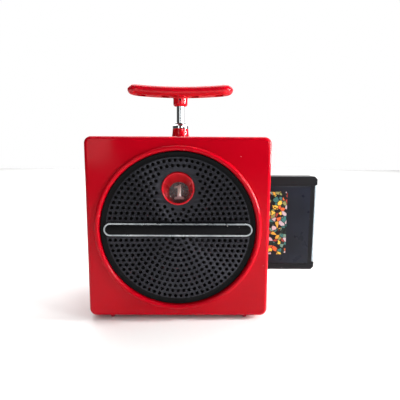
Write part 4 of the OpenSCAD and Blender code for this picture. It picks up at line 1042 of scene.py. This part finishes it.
@dataclass
class Plunger(SubAssembly):
    """The handle that steps the programme: collars, rod, hub and curved grip.

    Attributes:
        crown: How far the grip's top falls to its edges.
        curve_r: Radius that the grip is bent to.
        rod_r: Radius of the rod's hole in the grip.
        hub_h: Height of the hub below the grip.
        hub_round: Radius of the rounds at the hub's foot and head.
        pin_drop: Depth of the pin below the grip's underside.
        base_r: Radius of both collars.
        base_bore: Radius of the red collar's bore.
        tail_r: Radius of the bright collar's tail, which stands in that bore.
        nut_bore: Radius of the bright collar's bore.
        flare: How far the red collar widens to its foot.
        edge_r: Radius of the collars' rounded edges.
        pockets: Left and right end of each pocket in the underside.
        pocket_half: Half a pocket's size in depth.
    """

    length: float = 113.0
    depth: float = 23.0
    thickness: float = 10.6
    crown: float = 0.7
    curve_r: float = 520.0
    hub_r: float = 7.7
    rod_r: float = 4.13
    hub_h: float = 9.5
    hub_round: float = 2.4
    pin_r: float = 1.03
    pin_drop: float = 3.2
    base_r: float = 8.6
    base_bore: float = 7.2
    tail_r: float = 7.1
    nut_bore: float = 4.18
    flare: float = 1.5
    edge_r: float = 0.5
    pockets: tuple[Point, ...] = ((-46, -37), (-19.5, -12), (12, 19.5), (37, 46))
    pocket_half: float = 6.5
    pocket_h: float = 5.2

    def bend(self, points: np.ndarray, mid_z: float) -> np.ndarray:
        """Bends a straight bar up: a point at x goes to the angle x / R on a circle of radius R.

        Args:
            points: Points of a bar along X about the height 0.
            mid_z: Height of the bar's middle.

        Returns:
            The bent points.
        """
        angle = points[..., 0] / self.curve_r
        radius = self.curve_r - points[..., 2]
        x = radius * np.sin(angle)
        z = mid_z + self.curve_r - radius * np.cos(angle)
        return np.stack([x, points[..., 1], z], axis=-1)

    def bar(self, underside: float) -> Piece:
        """The grip's bar, without hub.

        Its edge is a half circle carried round a line along X, and its top and bottom close
        to that line. The top is crowned: its height falls with the square of the distance
        from the line.

        Args:
            underside: Height of the bar's underside at the middle.

        Returns:
            The bar.
        """
        half_t, half_d = self.thickness / 2, self.depth / 2
        edge = arc((half_d - half_t, 0), half_t, -90, 90, 19)
        inward = np.linspace(1, 0, 7)[1:, None] * [half_d - half_t, 0]
        under, over = inward[::-1] + [0, -half_t], inward + [0, half_t]
        profile = np.concatenate([under, edge, over])
        fall = self.crown * (profile[:, 0] / half_d) ** 2 * (profile[:, 1] > 0)
        height = profile[:, 1] - fall
        reach = self.length / 2 - half_d
        front = np.linspace(-reach, reach, 41)
        turn = np.linspace(-90, 90, 25)[1:-1]
        right, side = np.full_like(turn, reach), np.full_like(front, 90)
        anchor = np.concatenate([front, right, -front, -right])
        facing = np.radians(np.concatenate([-side, turn, side, turn + 180]))
        x = anchor + profile[:, :1] * np.cos(facing)
        y = profile[:, :1] * np.sin(facing)
        z = np.broadcast_to(height[:, None], x.shape)
        points = self.bend(np.stack([x, y, z], axis=-1), underside + half_t)
        return mesh_piece("plunger_grip_bar", points.reshape(-1, 3), grid_faces(*x.shape, True))

    def build(self) -> None:
        """Builds the grip with its hub and pockets, and the two collars."""
        hub_z = self.corners("plunger_grip")[0][2]
        underside = hub_z + self.hub_h
        bar = self.bar(underside)
        r, curve = self.hub_r, self.hub_round
        profile = np.concatenate([
            [(0, hub_z)], arc((r - curve, hub_z + curve), curve, -90, 0, 10), [(r, underside - curve)],
            arc((r + curve, underside - curve), curve, 180, 96, 8),
            [(r + 2, underside + 2), (0, underside + 2)],
        ])  # fmt: skip
        combine(bar, [turned("hub", profile, Axis.UPRIGHT)], "UNION")
        cuts = [self.pocket(x0, x1, underside) for x0, x1 in self.pockets]
        pin = self.drill("pin", self.pin_r, -20, 20, Axis.DEPTH, (0, underside - self.pin_drop), 32)
        rod = self.drill("rod", self.rod_r, hub_z - 1, underside, Axis.UPRIGHT, (0, 0), 64)
        combine(bar, [*cuts, pin, rod], "DIFFERENCE")
        bar.name = "plunger_grip_moulded"
        heal(bar.data, SHARP_CUT)
        self.fit(bar, RED_GRIP, "plunger_grip", body=Body.PLUNGER)
        self.collars()
        self.dress(CHROME, "plunger_rod")
        self.dress(BLACKENED, "grip_pin")

    def drill(
        self, name: str, radius: float, start: float, end: float, axis: Axis, centre: Point, segments: int
    ) -> Piece:
        """A cylinder from start to end along an axis that stands at centre, to cut a bore with."""
        profile = np.array([(0, start), (radius, start), (radius, end), (0, end)])
        return turned(name, profile, axis, centre, segments)

    def pocket(self, x0: float, x1: float, underside: float) -> Piece:
        """A rounded block that cuts one pocket into the underside."""
        y = self.pocket_half
        outline = rounded(rectangle(x0, -y, x1, y), 1.2, 6)
        rows = np.array([underside - 2, underside + self.pocket_h])
        sides = np.concatenate([np.c_[outline, np.full(len(outline), z)] for z in rows])
        caps = [np.tile([(x0 + x1) / 2, 0, z], (len(outline), 1)) for z in rows]
        points = np.concatenate([caps[0], sides, caps[1]])
        return mesh_piece("pocket", points, grid_faces(4, len(outline), True))

    def collars(self) -> None:
        """Turns the red collar base, a falling curve with a rounded foot, and the bright collar."""
        z0, z1 = (corner[2] for corner in self.corners("collar_base"))
        r, edge = self.base_r, self.edge_r
        t = np.linspace(0, 1, 17)
        flare = np.c_[r + self.flare * (1 - t) ** 2.2, z0 + (z1 - z0) * t]
        profile = np.concatenate([
            [(self.base_bore, z0)], flare[:-1], arc((r - edge, z1 - edge), edge, 0, 90, 5),
            [(self.base_bore, z1)],
        ])  # fmt: skip
        base = turned("red_collar_base", profile, Axis.UPRIGHT)
        self.fit(base, RED_GRIP, "collar_base")
        foot, top = (corner[2] for corner in self.corners("collar_nut"))
        # From the tail in the case: the flange, its two rounds, a slope and the rounded neck.
        profile = np.concatenate([
            [(self.nut_bore, foot), (self.tail_r, foot), (self.tail_r, z1), (r - 0.3, z1)],
            arc((r - edge, z1 + edge), edge, -60, 0, 5), arc((r - 0.9, z1 + 2.9), 0.9, 0, 70, 7),
            [(6.4, z1 + 4.4), (5.9, z1 + 5.0)], arc((5.2, top - edge), edge, 0, 90, 6),
            [(self.nut_bore, top)],
        ])  # fmt: skip
        nut = turned("chrome_collar", profile, Axis.UPRIGHT)
        self.fit(nut, CHROME, "collar_nut")


@dataclass
class Case(SubAssembly):
    """The two red shells with what is let into them."""

    def build(self) -> None:
        """Dresses the shells, feet, screws, side controls, jacks and the battery door."""
        self.dress(RED_CASE, "front_shell", "rear_cover")
        self.dress(DARK_FEET, "feet")
        self.dress(ZINC, "case_screws")
        self.dress(WHEEL_ABS, "volume_wheel", "tone_wheel")
        self.dress(CHROME, "earphone_jack")
        self.dress(BLACK_ABS, "power_jack")
        door = self.softened("battery_door", "battery_door_ribbed", 0.25)
        self.fit(door, RED_CASE, "battery_door", body=Body.DOOR)
        panel = self.softened("control_panel", "control_panel_edged", 0.2)
        self.fit(panel, BLACK_ABS, "control_panel")


@dataclass
class Cartridge(SubAssembly):
    """The cartridge's two halves, its label, what turns inside, and a painted highlight on its end.

    Attributes:
        end_dip: How far the end lies back between its ridges.
        highlight_w: Thickness of the painted highlight strip on the end.
        highlight_depth: Its width across the end.
        highlight_low: Height of the strip's foot above the cartridge's lower edge.
        highlight_high: Depth of the strip's head below the upper edge.
    """

    end_dip: float = 2.4
    highlight_w: float = 1.6
    highlight_depth: float = 10
    highlight_low: float = 9.2
    highlight_high: float = 10.2

    def build(self) -> None:
        """Rounds the back half's edges, prints the label, adds the painted highlight on the end and dresses
        what is left.
        """
        self.dress(CARTRIDGE_BLACK, "cartridge_shell")
        half = self.softened("cartridge_cover", "cartridge_cover_moulded", 0.35)
        self.fit(half, CARTRIDGE_BLACK, "cartridge_cover", body=Body.CARTRIDGE)
        low, high = self.corners("cartridge_label")
        outline = rounded(rectangle(low[0], low[2], high[0], high[2]), 1.2, 6)
        thickness = high[1] - low[1]
        sheet = flat_shape("cartridge_label_print", [outline], low[1], thickness, 0.05)
        print_finish = PrintedLabel(
            "coated_label_paper", "label_paper", "#0d0f18", "#131622", drift_mm=25, rough=0.32,
            rough_swing=0.08, grain_mm=0.6, grain_um=2, gloss=0.2, panel=(low[0] + 1.5, 114.5, 57.2, 125.6),
            tile_mm=4.0, inks=("#c9a53e", "#0f1013", "#6d8f7d", "#b9aeb4", "#c8622f", "#1d2a22", "#e0c84a",
                               "#35706c", "#101114", "#9c3a2c", "#7f8a52", "#15161a"),
        )  # fmt: skip
        self.fit(sheet, print_finish, "cartridge_label", body=Body.CARTRIDGE)
        self.painted_end_highlight()
        self.dress(TAPE_PACK, "tape_reel")
        self.dress(BELT, "pinch_roller")

    def painted_end_highlight(self) -> None:
        """A pale strip on the end, between the two ridges: a painted highlight, standing for the light that
        the end catches.
        """
        low, high = self.corners("cartridge_shell")
        end = high[0] - self.end_dip
        foot, top = low[2] + self.highlight_low, high[2] - self.highlight_high
        outline = rounded(rectangle(end, foot, end + self.highlight_w, top), 0.2, 3)
        # The strip is painted light: a pale sheet where the end only catches a highlight.
        highlight_strip = flat_shape("cartridge_painted_end_highlight", [outline], low[1] + 0.2, self.highlight_depth, 0.2)
        self.fit(highlight_strip, END_HIGHLIGHT_PAINT, body=Body.CARTRIDGE)


@dataclass
class Works(SubAssembly):
    """What is inside the case: every node keeps its shape and gets its finish."""

    def build(self) -> None:
        """Dresses every inner node."""
        dress = self.dress
        dress(FIBREBOARD, "speaker_baffle")
        dress(CONE_PAPER, "speaker_cone")
        dress(FERRITE, "speaker_magnet")
        dress(ZINC, "speaker_frame", "collar_locknut", "rod_stop", "plunger_spring", "plunger_bracket",
              "program_plate", "index_pawl", "chassis_plate", "motor")  # fmt: skip
        dress(ALLOY, "rack_crosshead", "ratchet_wheel", "flywheel", "head_carriage")
        dress(BRASS, "index_pinion", "head_cam", "motor_pulley", "capstan_bearing", "battery_contacts")
        dress(CHROME, "program_shaft", "capstan", "tape_head", "head_guide_pins")
        dress(BLACK_ABS, "cartridge_guide", "battery_box")
        dress(BELT, "drive_belt")
        dress(LAMINATE, "circuit_board")
        dress(CANS, "board_parts")
        dress(POTS, "control_pots")


# ---- studio ----


@dataclass
class Studio:
    """A pale floor, soft lights and the photograph's view.

    Attributes:
        eye: Camera's place in millimetres.
        pitch: Degrees that it looks down.
        yaw: Degrees that it turns to the right.
        roll: Degrees that the picture leans.
        focal: Focal length as a share of the picture's width.
        room_front: Brightness of the room behind the viewer.
        room_back: Brightness of the room behind the object.
    """

    eye: Place = (17.92, -390.03, 167.4)
    pitch: float = 7.79
    yaw: float = 0.54
    roll: float = 0.31
    focal: float = 353.3 / 400
    room_front: float = 0.07
    room_back: float = 1.0

    def camera(self) -> None:
        """Makes the camera from its place and angles."""
        data = bpy.data.cameras.new("view")
        data.lens = data.sensor_width * self.focal
        data.clip_start, data.clip_end = 0.01, 20
        camera = put("view", data)
        place = Matrix.Translation(Vector(self.eye) * MM)
        for degrees, axis in ((-self.yaw, "Z"), (90 - self.pitch, "X"), (self.roll, "Z")):
            place @= Matrix.Rotation(math.radians(degrees), 4, axis)
        camera.matrix_world = place
        bpy.context.scene.camera = camera

    def floor(self) -> None:
        """A pale floor that isn't part of the object."""
        half = 3000.0
        points = np.c_[rectangle(-half, -half, half, half), np.zeros(4)]
        floor = mesh_piece("floor", points, np.array([[0, 1, 2, 3]]))
        # Painted board: pale and matt, so that it takes only soft shadows.
        pale = Finish(
            "pale_floor", "", "#f4f4f3", "#efefee", drift_mm=400, rough=0.8, grain_mm=3, grain_um=5
        )
        floor.data.materials.append(pale.material())

    def softbox(
        self, name: str, place: Place, aim: Place, size: Point, power: float, spread: float = 180
    ) -> None:
        """A rectangular soft light.

        Args:
            name: The light's name.
            place: Where it stands, in millimetres.
            aim: What it points at, in millimetres.
            size: Its width and height, in millimetres.
            power: Its power in watts.
            spread: The angle that its grid leaves open, in degrees.
        """
        data = bpy.data.lights.new(name, "AREA")
        data.shape = "RECTANGLE"
        data.size, data.size_y = size[0] * MM, size[1] * MM
        data.energy = power
        data.spread = math.radians(spread)
        light = put(name, data)
        light.location = Vector(place) * MM
        light.rotation_mode = "QUATERNION"
        light.rotation_quaternion = (Vector(aim) - Vector(place)).to_track_quat("-Z", "Y")

    def world(self) -> None:
        """White where the camera looks past the object; gloss mirrors a dim room with a bright end."""
        world = bpy.data.worlds.new("soft_room")
        world.use_nodes = True
        tree = world.node_tree
        tree.nodes.clear()
        back = add(tree, "SeparateXYZ", {"Vector": add(tree, "TexCoord")}).outputs["Y"]
        room: Sockets = {"Value": back, "From Min": 0.6, "From Max": 0.92}
        room |= {"To Min": self.room_front, "To Max": self.room_back}
        seen = add(tree, "LightPath").outputs["Is Camera Ray"]
        strength = add(tree, "Math", {0: add(tree, "MapRange", room), 1: seen}, operation="MAXIMUM")
        light = add(tree, "Background", {"Color": (1.0, 1.0, 1.0, 1.0), "Strength": strength})
        add(tree, "OutputWorld", {"Surface": light})
        bpy.context.scene.world = world

    def build(self) -> None:
        """Sets up camera, floor and lights."""
        self.camera()
        self.floor()
        self.world()
        bpy.context.scene.view_settings.view_transform = "Standard"
        middle = (0.0, -54.0, 100.0)
        self.softbox("key", (600, -340, 390), middle, (150, 300), 2.5)
        self.softbox("left_card", (-330, -760, 330), (-60, -54, 150), (200, 420), 0.5)
        self.softbox("sheen_card", (400, -700, 250), middle, (140, 140), 0.9)
        self.softbox("top", (0, 120, 900), (0, 0, 180), (700, 500), 4)
        self.softbox("right_rim", (620, -52, 260), (80, -54, 150), (70, 260), 1.1, 60)
        self.softbox("window_spot", (0, -900, 190), (0, -32, 126.4), (12, 12), 0.0017, 1.6)
        self.softbox("floor_wash", (0, 1900, 1500), (0, 1700, 0), (4000, 2600), 90)


def main() -> None:
    """Builds the player around its frame and reports each piece."""
    logging.basicConfig(level=logging.INFO, format="%(name)s %(message)s")
    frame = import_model()
    Studio().build()
    for kind in (Works, Case, Grille, Window, Plunger, Cartridge):
        LOG.info("building %s", kind.__name__)
        kind(frame).build()


if __name__ == "__main__":
    main()
